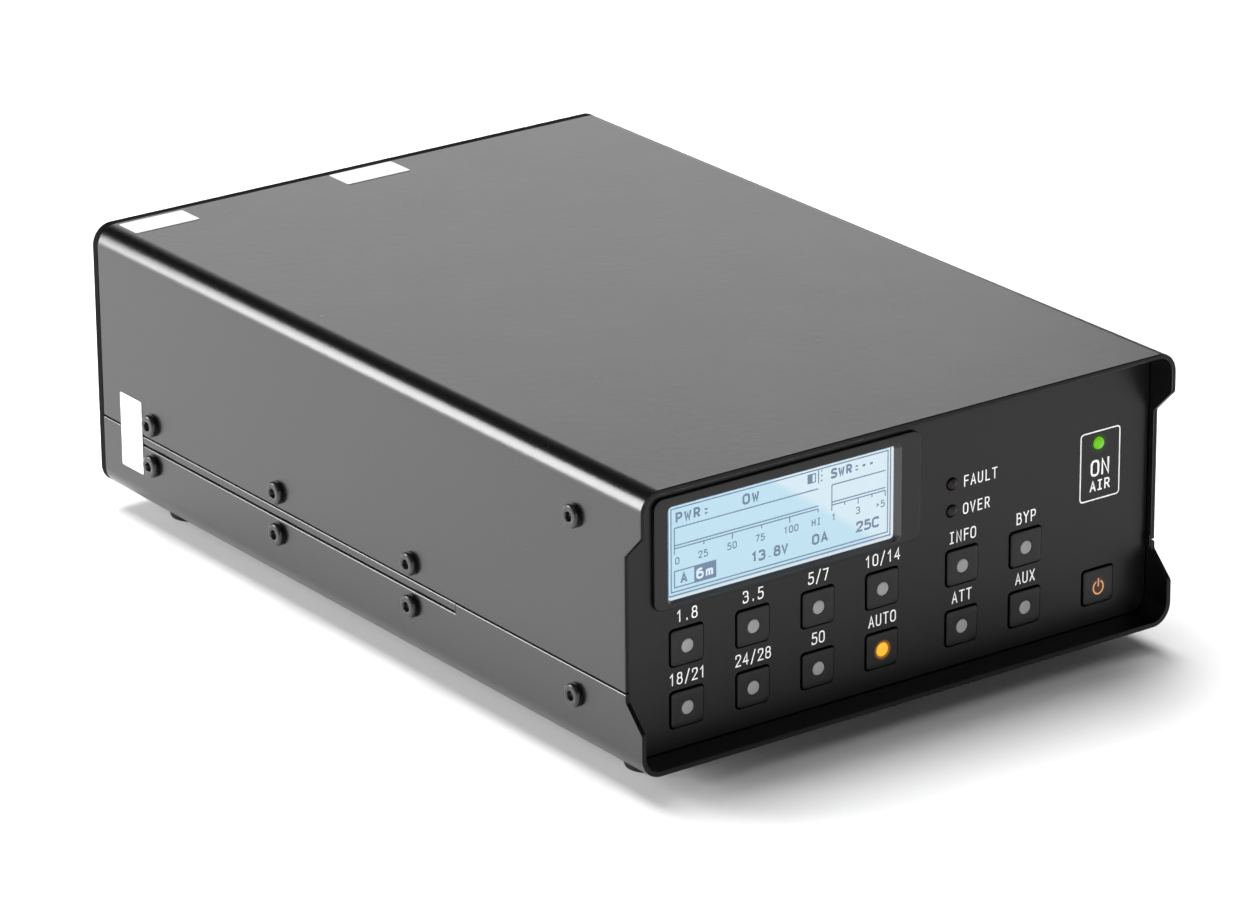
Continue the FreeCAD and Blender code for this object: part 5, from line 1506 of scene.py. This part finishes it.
@dataclass
class FrontPanel:
    """The recessed front panel and the words printed on it.

    Attributes:
        face: How far its face lies behind the front lip.
        thickness: The plate's thickness.
        half_width: Half its width.
        low: Its lower edge.
        high: Its upper edge.
        corner: The radius of its corners.
        edge: The rounding of its edges.
        flange: The size of its side flanges: thickness, height and length.
        flange_middle: The height of their middle.
        tab: The size of the tabs that close the covers' seam: thickness, height and length.
        sunk: How deep flanges and tabs are sunk into the plate.
        ink: The thickness of the printed words.
        pen: The width of their strokes.
        legend_place: Where a key's word stands over the middle of the key.
        legend_size: Its height and the distance from letter to letter.
    """

    face: float = PANEL_FACE
    thickness: float = 2.0
    half_width: float = 76.15
    low: float = 1.35
    high: float = 67.45
    corner: float = 4.1
    edge: float = 0.12
    flange: Triple = (1.5, 54.8, 26.0)
    flange_middle: float = 34.2
    tab: Triple = (0.3, 3.0, 1.6)
    sunk: float = 0.05
    ink: float = 0.04
    pen: float = 0.34
    legend_place: Flat = (0.2, 6.15)
    legend_size: Flat = (2.65, 2.12)

    def build(self) -> None:
        """Make the plate and print it."""
        self.plate()
        self.print_words()

    def plate(self) -> None:
        """Cut the plate with its holes, flanges and tabs."""
        outer = rounded_rectangle(2 * self.half_width, self.high - self.low, self.corner,
                                  (0.0, (self.low + self.high) / 2))
        holes = [rounded_rectangle(*KEY_HOLE, centre) for centre in KEY_PLACES.values()]
        holes += [ring(LAMP_HOLE, centre) for centre in (FAULT_LAMP, OVERDRIVE_LAMP, AIR_LAMP)]
        holes.append(rounded_rectangle(*DISPLAY_HOLE, BEZEL_CENTRE))
        shape = bmesh.new()
        shape.from_mesh(flat_plate(outer, holes, self.face, self.thickness, self.edge))
        back = self.face + self.thickness
        for side in (-1, 1):
            wide, tall, reach = self.flange
            middle = (side * (self.half_width - wide / 2), self.flange_middle)
            points = rounded_rectangle(wide, tall, 0.3, middle)
            loft(shape, [at_depth(points, back - self.sunk), at_depth(points, back + reach)])
            wide, tall, reach = self.tab
            points = rounded_rectangle(wide, tall, 0.1, (side * (self.half_width - 0.02),
                                                         SEAM_HEIGHT))
            loft(shape, [at_depth(points, self.face - reach),
                         at_depth(points, self.face + self.sunk)])
        # The panel paint gets a painted glow round the air lamp, standing in for the lamp's light
        # on it.
        lit = Halo.around(PANEL_PAINT, "silk_matt_paint_round_lamp", "air",
                          spot(AIR_LAMP[0], self.face, AIR_LAMP[1]))
        finish_piece(from_bmesh(shape, smooth=False), "front_plate", "case", lit,
                     ["front_panel"])

    def print_words(self) -> None:
        """Print the keys' and lamps' words and the frame round the air lamp."""
        pen = Pen(self.face - 0.03, self.ink, self.pen)
        for name, word in KEY_LEGENDS.items():
            (column, row), (right, up) = KEY_PLACES[name], self.legend_place
            pen.write(Word(word, column + right, row + up, *self.legend_size))
        pen.write(Word("FAULT", 25.4, 45.5, 2.5, 2.12), Word("OVER", 24.3, 38.7, 2.5, 2.12))
        pen.frame(55.6, 32.95, 67.45, 49.95, 1.0)
        pen.write(Word("ON", 61.6, 39.0, 3.6, 3.15, 0.58, 0.6),
                  Word("AIR", 61.6, 35.2, 2.3, 2.15, 0.62, 0.42))
        finish_piece(pen.mesh(), "printed_words", "case", LEGEND_INK)


@dataclass
class Display:
    """The bezel, the window and the lit display behind it.

    Attributes:
        bezel_centre: The middle of the bezel.
        bezel_size: Its width and height.
        screen_centre: The middle of the lit field.
        screen_size: The lit field's width and height.
        front: How far the bezel's face lies behind the front lip.
        window: How far the window's face does.
        back: How far the bezel's back does.
        sheet_corner: The radius of the corners of the window and of the module.
        sheet: How much larger than the lit field the window and the module's face are.
        carrier: How much larger the module's carrier is.
        lit_depths: Between which depths the module is lit.
        marks_depth: The depth of the dark marks.
        ink: The thickness of the marks.
        thin: The width of their thin strokes.
        text: The width of the words' strokes.
    """

    bezel_centre: Flat = BEZEL_CENTRE
    bezel_size: Flat = (75.7, 27.0)
    screen_centre: Flat = (-31.85, 48.9)
    screen_size: Flat = (64.1, 22.8)
    front: float = 7.0
    window: float = 8.5
    back: float = 10.0
    sheet_corner: float = 0.8
    sheet: float = 0.9
    carrier: float = 6.8
    lit_depths: Flat = (9.5, 9.6)
    marks_depth: float = 9.5
    ink: float = 0.04
    thin: float = 0.29
    text: float = 0.55

    def build(self) -> None:
        """Make the bezel, the window, the display and what it shows."""
        self.bezel()
        self.window_sheet()
        self.module()
        self.marks()

    def loop(self, size: Flat, centre: Flat, radius: float, depth: float) -> list[Vector]:
        """Lay a rounded rectangle upright at a depth."""
        return at_depth(rounded_rectangle(*size, radius, centre, steps=8), depth)

    def slab(self, margin: float, depths: Flat) -> list[list[Vector]]:
        """Lay out a flat body between two depths, larger than the lit field by a margin."""
        size = tuple(side + margin for side in self.screen_size)
        return [self.loop(size, self.screen_centre, self.sheet_corner, depth) for depth in depths]

    def field_corner(self, side: int, depth: float, across: float = 0.0, up: float = 0.0) -> Vector:
        """Give a corner of the lit field in the shared frame.

        Args:
            side: -1 for its lower left corner, 1 for its upper right one.
            depth: How far it lies behind the front lip.
            across: How far it is moved outwards to the side.
            up: How far it is moved outwards up or down.

        Returns:
            The corner, in metres.
        """
        (x, z), (wide, tall) = self.screen_centre, self.screen_size
        return spot(x + side * (wide / 2 + across), depth, z + side * (tall / 2 + up))

    def bezel(self) -> None:
        """Mould the bezel: a raised rim with rounded edges and a sloped opening."""
        front, window, back = self.front, self.window, self.back
        # How much wider and taller each loop is than the bezel or the lit field, then its corner
        # radius and its depth.
        rim = ((-1.0, 2.1, back), (-1.0, 2.1, 8.0), (0.0, 2.5, 7.98), (0.0, 2.5, front + 0.35),
               (-0.2, 2.4, front + 0.1), (-0.7, 2.2, front))
        opening = ((2.3, 1.0, 1.5, front), (2.0, 0.7, 1.4, front + 0.12), (0.0, 0.0, 1.1, window),
                   (1.2, 1.2, 1.1, window), (1.2, 1.2, 1.1, back))
        wide, tall = self.bezel_size
        loops = [self.loop((wide + more, tall + more), self.bezel_centre, radius, depth)
                 for more, radius, depth in rim]
        wide, tall = self.screen_size
        loops += [self.loop((wide + across, tall + up), self.screen_centre, radius, depth)
                  for across, up, radius, depth in opening]
        low, high = self.field_corner(-1, front, 1.2, 0.6), self.field_corner(1, window, 1.2, 0.6)

        # The slopes round the opening get the bevel's painted light, a lighter grey than the bezel.
        def is_slope(middle: Vector, normal: Vector) -> bool:
            """Tell whether a face belongs to the slopes round the opening."""
            return abs(normal.y) < 0.95 and all(
                low[axis] < middle[axis] < high[axis] for axis in range(3))

        mesh = edged(lofted(loops, round_trip=True), 0.06, 2, 40.0)
        finish_piece(second_finish(mesh, is_slope), "moulded_bezel", "case",
                     BEZEL_ABS, ["display_bezel"], BEZEL_BEVEL_PAINTED_LIGHT)

    def window_sheet(self) -> None:
        """Cut the clear window."""
        mesh = lofted(self.slab(self.sheet, (self.window + 0.05, 9.45)), smooth=False)
        finish_piece(mesh, "clear_window", "case", WINDOW_ACRYLIC,
                     ["display_window"])

    def module(self) -> None:
        """Make the display module with its lit face."""
        mesh = lofted(self.slab(self.sheet, (9.55, 10.0)), self.slab(self.carrier, (10.05, 14.85)),
                      smooth=False)
        near, far = self.lit_depths
        lit = Backlight("backlit_display", "#1c2226", 0.3, glow="#b4def1", glow_strength=0.86,
                        grain_mm=0.4, grain_depth_mm=0.001, low=tuple(self.field_corner(-1, near)),
                        high=tuple(self.field_corner(1, far)))
        finish_piece(mesh, "lit_display", "case", lit, ["lcd_module"])

    def marks(self) -> None:
        """Draw what the display shows: two meters with their scales, and a row of readings."""
        text = self.text
        pen = Pen(self.marks_depth, self.ink, self.thin, round_ends=False)
        pen.frame(-63.3, 38.15, -0.25, 59.7)
        pen.frame(-62.5, 39.0, -1.0, 59.0)
        pen.write(Word("PWR:", -56.6, 55.6, 2.1, 2.5, 0.72, text),
                  Word("0W", -40.2, 55.6, 2.1, 2.6, 0.75, text),
                  Word("SWR:--", -11.2, 56.1, 1.9, 2.15, 0.7, text))
        self.meter(pen, -61.6, -21.1, (0.0, 0.203, 0.4, 0.604, 0.8, 1.0))
        self.meter(pen, -17.15, -1.7, (0.0, 0.24, 0.49, 0.75, 1.0))
        scale = (("0", -60.8), ("25", -53.6), ("50", -45.5), ("75", -37.6), ("100", -28.8),
                 ("HI", -21.6), ("1", -16.6), ("3", -9.6), (">5", -3.2))
        pen.write(*(Word(mark, place, 45.6, 1.5, 1.5, 0.62) for mark, place in scale))
        pen.write(Word("13.8V", -34.9, 41.0, 2.1, 2.15, 0.7, text),
                  Word("0A", -20.5, 41.1, 2.1, 2.5, 0.75, text),
                  Word("25C", -6.8, 41.2, 2.1, 2.3, 0.75, text))
        # The band in use: a letter, then a dark field that the band itself stands out of.
        pen.frame(-61.6, 40.0, -50.1, 43.9)
        pen.box(-56.1, 40.0, -50.1, 43.9)
        pen.write(Word("A", -59.0, 40.8, 2.1, 2.4, 0.7, text))
        # The small sign between the meters' headings.
        pen.box(-24.0, 56.2, -22.7, 58.2)
        pen.frame(-24.0, 56.2, -21.9, 58.2)
        pen.stroke([(-21.0, 55.6), (-21.0, 58.8)])
        for level in (55.9, 57.1, 58.3):
            pen.box(-20.3, level, -19.9, level + 0.4)
        finish_piece(pen.mesh(), "display_marks", "case", DISPLAY_INK)
        light = Pen(self.marks_depth - 0.02, self.ink, text, round_ends=False)
        light.write(Word("6m", -53.2, 40.8, 2.1, 2.6, 0.75))
        finish_piece(light.mesh(), "display_light_marks", "case", DISPLAY_CLEAR)

    @staticmethod
    def meter(pen: Pen, left: float, right: float, ticks: Sequence[float]) -> None:
        """Draw an empty bar meter: its frame, its double base line and its ticks.

        Args:
            pen: The pen.
            left: Its left end.
            right: Its right end.
            ticks: The ticks' places, as shares of its length.
        """
        top, upper_line, lower_line, short_end, long_end = 54.3, 50.1, 49.4, 48.6, 48.0
        pen.stroke([(left, top), (right, top)])
        pen.stroke([(left, top), (left, long_end)])
        for level in (upper_line, lower_line):
            pen.stroke([(left, level), (right, level)])
        for at, share in enumerate(ticks):
            place = left + share * (right - left)
            pen.stroke([(place, lower_line), (place, long_end if at % 2 == 0 else short_end)])


@dataclass
class KeySet:
    """The square keys, each a cap on its own body with a light guide through it.

    Attributes:
        width: A cap's width.
        height: A cap's height.
        face: How far its face lies behind the front lip.
        corner: The radius of its corners.
        rim: How far the rim behind the panel stands out all round.
        rim_start: The depth where the rim starts.
        rim_end: The depth where it ends.
        guide: The guide's radius.
        guide_end: The depth where the guide ends.
        play: The gap round the guide.
        edge: The rounding of the sharp edges.
    """

    width: float = 9.1
    height: float = 8.7
    face: float = 7.5
    corner: float = 0.8
    rim: float = 1.0
    rim_start: float = 10.2
    rim_end: float = 11.2
    guide: float = 1.7
    guide_end: float = 14.0
    play: float = 0.02
    edge: float = 0.02

    def build(self) -> None:
        """Make each key."""
        for name, centre in KEY_PLACES.items():
            self.cap(name, centre)
            if name != "power":
                self.light_guide(name, centre)
        self.power_mark()

    def cap(self, name: str, centre: Flat) -> None:
        """Mould one cap, with a rounded edge, a bore for its guide and a rim behind the panel.

        Args:
            name: The key's name.
            centre: Its middle.
        """
        face, corner = self.face, self.corner
        # How far each loop is drawn in, its corner radius and its depth.
        sides = ((-self.rim, corner, self.rim_end), (-self.rim, corner, self.rim_start),
                 (0.0, corner, self.rim_start), (0.0, corner, face + 0.3),
                 (0.09, corner, face + 0.09), (0.3, corner - 0.1, face),
                 (1.3, corner - 0.2, face))
        loops = [at_depth(rounded_rectangle(self.width - 2 * inset, self.height - 2 * inset, radius,
                                            centre), depth) for inset, radius, depth in sides]
        bored = name != "power"
        if bored:
            bore = ((0.12, face), (self.play, face + 0.12), (self.play, self.rim_end))
            loops += [at_depth(ring(self.guide + gap, centre), depth) for gap, depth in bore]
        finish: Finish = KEY_ABS
        # A key with a lit lamp gets a painted glow round it on the cap's face.
        if name in LAMP_GLOWS:
            finish = Halo.around(KEY_ABS, f"abs_key_cap_lit_{name}", name,
                                 spot(centre[0], face, centre[1]))
        finish_piece(edged(lofted(loops, round_trip=bored), self.edge, 1, 60.0), f"cap_{name}",
                     f"key_{name}", finish, [f"key_cap_{name}"])

    def light_guide(self, name: str, centre: Flat) -> None:
        """Make one light guide with a slightly domed end.

        Args:
            name: The key's name.
            centre: Its middle.
        """
        front, radius = self.face - 0.05, self.guide
        steps = ((radius, self.guide_end), (radius, front + 0.22), (radius * 0.95, front + 0.1),
                 (radius * 0.8, front + 0.03), (radius * 0.4, front))
        mesh = lofted([at_depth(ring(size, centre), depth) for size, depth in steps])
        slot, finish = "light_guide_plastic", FROSTED_GUIDE
        if name == "auto":
            slot, finish = "light_guide_amber", AMBER_GUIDE
        finish_piece(edged(mesh, self.edge, 1, 60.0), f"guide_{name}", f"key_{name}", finish,
                     [f"light_guide_{name}"])

    def power_mark(self) -> None:
        """Print the standby sign on the power key: an open ring and a bar."""
        x, z = KEY_PLACES["power"]
        pen = Pen(self.face - 0.03, 0.04, 0.42)
        # Half the ring's opening at the top, in degrees, and how many strokes go round the rest.
        opening, count = 32, 24
        turns = [math.radians(90 + opening + (360 - 2 * opening) * at / count)
                 for at in range(count + 1)]
        pen.stroke([(x + 1.5 * math.cos(turn), z - 0.35 + 1.65 * math.sin(turn)) for turn in turns])
        pen.stroke([(x, z), (x, z + 1.75)])
        finish_piece(pen.mesh(), "power_sign", "key_power", ORANGE_MARK)


@dataclass
class Lamps:
    """The three round indicator lamps.

    Attributes:
        radius: The lens's radius.
        face: How far the panel's face lies behind the front lip.
        proud: How far the dome stands out of it.
        end: The depth of the lens's back.
        collar: Its collar's radius, and the depths where that starts and ends.
        dome_steps: How many rings make the dome.
    """

    radius: float = 1.5
    face: float = PANEL_FACE
    proud: float = 0.8
    end: float = 16.5
    collar: Triple = (1.9, 11.0, 12.0)
    dome_steps: int = 8

    def build(self) -> None:
        """Make each lamp."""
        self.lamp("fault", FAULT_LAMP, "led_red", RED_LENS)
        self.lamp("overdrive", OVERDRIVE_LAMP, "led_olive", OLIVE_LENS)
        self.lamp("on_air", AIR_LAMP, "led_green", GREEN_LENS)

    def lamp(self, name: str, centre: Flat, slot: str, finish: Finish) -> None:
        """Turn one lamp's domed lens.

        Args:
            name: The lamp's name.
            centre: Its middle.
            slot: Its material slot; not used.
            finish: Its finish.
        """
        radius, (wide, near, far) = self.radius, self.collar
        steps = [(radius, self.end), (radius, far), (wide, far), (wide, near), (radius, near)]
        turns = [math.radians(90 * at / self.dome_steps) for at in range(self.dome_steps)]
        steps += [(radius * math.cos(turn), self.face - self.proud * math.sin(turn))
                  for turn in turns]
        steps.append((0.05, self.face - self.proud))
        mesh = lofted([at_depth(ring(size, centre, 32), depth) for size, depth in steps])
        finish_piece(mesh, f"lens_{name}", "case", finish, [f"led_{name}"])


# --------------------------------------------------------------------------------------------
# What the frame already has
# --------------------------------------------------------------------------------------------

def rounded_copy(node: str, edge_mm: float, more_mm: float = 0.0,
                 more: Callable[[Vector], bool] = lambda place: False) -> Mesh:
    """Copy a node's mesh, join its triangles and round its edges.

    Args:
        node: The frame's node.
        edge_mm: The size of the rounding.
        more_mm: The size of the rounding of the edges that more chooses.
        more: Tells whether an edge's end is one of these, in metres.

    Returns:
        The finished mesh.
    """
    shape = bmesh.new()
    shape.from_mesh(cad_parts[node].data)
    bmesh.ops.remove_doubles(shape, verts=shape.verts, dist=NODE_MERGE)
    bmesh.ops.dissolve_limit(shape, angle_limit=math.radians(0.5), verts=shape.verts,
                             edges=shape.edges)
    return edged(rounded_along(plain_mesh(shape), more_mm, more), edge_mm)


@dataclass
class CarriedNodes:
    """The nodes that keep their shape from the frame, some with rounder edges.

    Attributes:
        half_width: How far the heat sink's rib reaches to the sides.
        sink_edge: The rounding of the sink's edges.
        rib_edge: The rounding of its rib's outer edges.
        plate_edge: The rounding of the rear plate's edges.
        finishes: The nodes whose own shape is right, with their finishes.
    """

    half_width: float = 77.5
    sink_edge: float = 0.1
    rib_edge: float = 0.5
    plate_edge: float = 0.15
    finishes: dict[str, Finish] = field(default_factory=lambda: {
        "control_board": BOARD,
        "amplifier_board": BOARD,
        "filter_board": BOARD,
        "board_standoffs": ZINC,
        "tact_switches": MOULDED_BLACK,
        "power_transistors": CERAMIC,
        "output_transformer": FERRITE,
        "toroid_coils": IRON_POWDER,
        "band_relays": RELAY_CASE,
        "fan_frame": MOULDED_BLACK,
        "fan_rotor": MOULDED_BLACK,
        "antenna_socket": NICKEL,
        "rf_input_socket": NICKEL,
        "socket_insulators": FLUOROPOLYMER,
        "socket_contacts": CONTACT_BRASS,
        "dc_inlet": MOULDED_BLACK,
        "dc_inlet_pins": CONTACT_BRASS,
        "control_jacks": MOULDED_BLACK,
        "earth_terminal": NICKEL,
        "rear_panel_screws": BLACK_OXIDE,
        "foot_screws": BLACK_OXIDE,
    })

    def build(self) -> None:
        """Give each node its material, and the sink and the rear plate rounded edges."""
        side = self.half_width * MM - NEAR
        sink = rounded_copy("heat_sink", self.sink_edge, self.rib_edge,
                            lambda place: abs(place.x) > side)
        finish_piece(sink, "extruded_sink", "case", POWDER_COAT, ["heat_sink"])
        plate = second_finish(rounded_copy("rear_panel", self.plate_edge),
                              lambda middle, normal: abs(normal.y) < FACING)
        finish_piece(plate, "rear_plate", "case", REAR_COAT, ["rear_panel"],
                     CUT_EDGE)
        for name, finish in self.finishes.items():
            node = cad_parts[name]
            node.data.materials.clear()
            node.data.materials.append(finish.material())
            LOG.info("%s: finished as %s", name, finish.name)


# --------------------------------------------------------------------------------------------
# The studio
# --------------------------------------------------------------------------------------------

class Lights(Enum):
    """What a soft light lights: everything, dull surfaces alone, or as a mirror image alone."""

    ALL = "all"
    DULL = "dull"
    GLOSS = "gloss"


@dataclass(frozen=True)
class Softbox:
    """A soft light that faces the amplifier.

    Attributes:
        name: Its name.
        place: Where it hangs, in metres.
        size: Its width and height, in metres.
        radiance: How bright its face is.
        lights: What it lights.
    """

    name: str
    place: Triple
    size: Flat
    radiance: float
    lights: Lights = Lights.ALL

    def hang(self) -> None:
        """Hang the light."""
        data = bpy.data.lights.new(self.name, "AREA")
        data.shape = "RECTANGLE"
        data.size, data.size_y = self.size
        data.energy = self.radiance * self.size[0] * self.size[1] * math.pi
        lamp = new_object(self.name, data)
        lamp.location = self.place
        lamp.rotation_euler = (-Vector(self.place)).to_track_quat("-Z", "Y").to_euler()
        lamp.visible_glossy = self.lights is not Lights.DULL
        lamp.visible_diffuse = self.lights is not Lights.GLOSS


# The key light above and behind, the fills, and the cards that the gloss mirrors.
SOFTBOXES = (
    Softbox("key", (0.1, 0.9, 2.35), (2.2, 1.8), 9.0, Lights.DULL),
    Softbox("left_fill", (-2.4, 0.2, 0.6), (1.6, 0.8), 15.4, Lights.DULL),
    Softbox("overhead", (-0.2, -0.5, 2.4), (2.6, 2.2), 0.35),
    Softbox("low_back_right", (1.15, 2.14, 0.80), (1.5, 1.0), 1.55),
    Softbox("low_back_left", (-1.64, 1.82, 0.74), (0.8, 1.35), 15.0),
    Softbox("front_fill", (-0.3, -2.6, 0.24), (3.0, 0.45), 6.0, Lights.DULL),
    Softbox("near_card", (-0.6, -2.6, 0.7), (1.8, 1.0), 2.0, Lights.GLOSS),
    Softbox("front_card", (0.0, -2.3, 0.95), (3.6, 0.9), 1.0, Lights.GLOSS),
    Softbox("back_card", (-0.1, 2.7, 0.52), (1.6, 0.7), 0.6, Lights.GLOSS),
    Softbox("left_card", (-2.4, 0.0, 0.75), (3.0, 0.8), 0.9, Lights.GLOSS),
    Softbox("right_card", (2.4, 0.0, 0.75), (3.0, 0.8), 0.9, Lights.GLOSS),
    Softbox("front_right_card", (1.75, -1.75, 0.75), (2.2, 0.8), 0.8, Lights.GLOSS),
)


@dataclass
class Studio:
    """The floor, the lights and the camera.

    Attributes:
        camera_place: Where the camera stands, in metres.
        azimuth: The way it looks, in degrees from +Y towards -X.
        elevation: How far it looks down.
        roll: How far it leans.
        lens: Its focal length, in millimetres.
        sensor: Its sensor's width, in millimetres.
        room: How bright the room is.
        reach: How far the floor goes each way, in metres.
    """

    camera_place: Triple = (-0.815456, -1.137542, 0.565145)
    azimuth: float = -35.8478
    elevation: float = 20.9645
    roll: float = -0.4334
    lens: float = 177.005
    sensor: float = 36.0
    room: float = 0.01
    reach: float = 12.0

    def build(self) -> None:
        """Set up the studio."""
        self.floor()
        self.lights()
        self.camera()

    def floor(self) -> None:
        """Lay the plain pale floor."""
        mesh = bpy.data.meshes.new("floor")
        corners = ((-1, -1), (1, -1), (1, 1), (-1, 1))
        mesh.from_pydata([(x * self.reach, y * self.reach, 0) for x, y in corners], [],
                         [(0, 1, 2, 3)])
        mesh.materials.append(Finish("studio_floor", "#f4f4f4", 0.9, ior=1.2, grain_mm=20.0,
                                     grain_depth_mm=0.001, spread=0.0).material())
        new_object("floor", mesh)

    def lights(self) -> None:
        """Hang the lights, and light the room a little all round."""
        for softbox in SOFTBOXES:
            softbox.hang()
        world = bpy.data.worlds.new("room")
        world.use_nodes = True
        background = world.node_tree.nodes["Background"].inputs
        background["Color"].default_value = (1, 1, 1, 1)
        background["Strength"].default_value = self.room
        bpy.context.scene.world = world
        bpy.context.scene.view_settings.view_transform = "Standard"

    def camera(self) -> None:
        """Stand the camera where the amplifier is seen from its front left."""
        turn, dip, lean = (math.radians(angle)
                           for angle in (self.azimuth, self.elevation, self.roll))
        ahead = Vector((-math.sin(turn) * math.cos(dip), math.cos(turn) * math.cos(dip),
                        -math.sin(dip)))
        level = ahead.cross(UPWARDS).normalized()
        upright = level.cross(ahead)
        right = level * math.cos(lean) + upright * math.sin(lean)
        up = right.cross(ahead)
        data = bpy.data.cameras.new("camera")
        data.sensor_width = self.sensor
        data.sensor_fit = "HORIZONTAL"
        data.lens = self.lens
        data.clip_start = 0.05
        camera = new_object("camera", data)
        camera.matrix_world = Matrix((
            *((right[row], up[row], -ahead[row], self.camera_place[row]) for row in range(3)),
            (0.0, 0.0, 0.0, 1.0),
        ))
        bpy.context.scene.camera = camera


def main() -> None:
    """Build the studio, then each sub-assembly in order."""
    logging.basicConfig(level=logging.INFO, format="%(name)s: %(message)s")
    for part in (Studio(), Case(), FrontPanel(), Display(), KeySet(), Lamps(), CarriedNodes()):
        part.build()


if __name__ == "__main__":
    main()
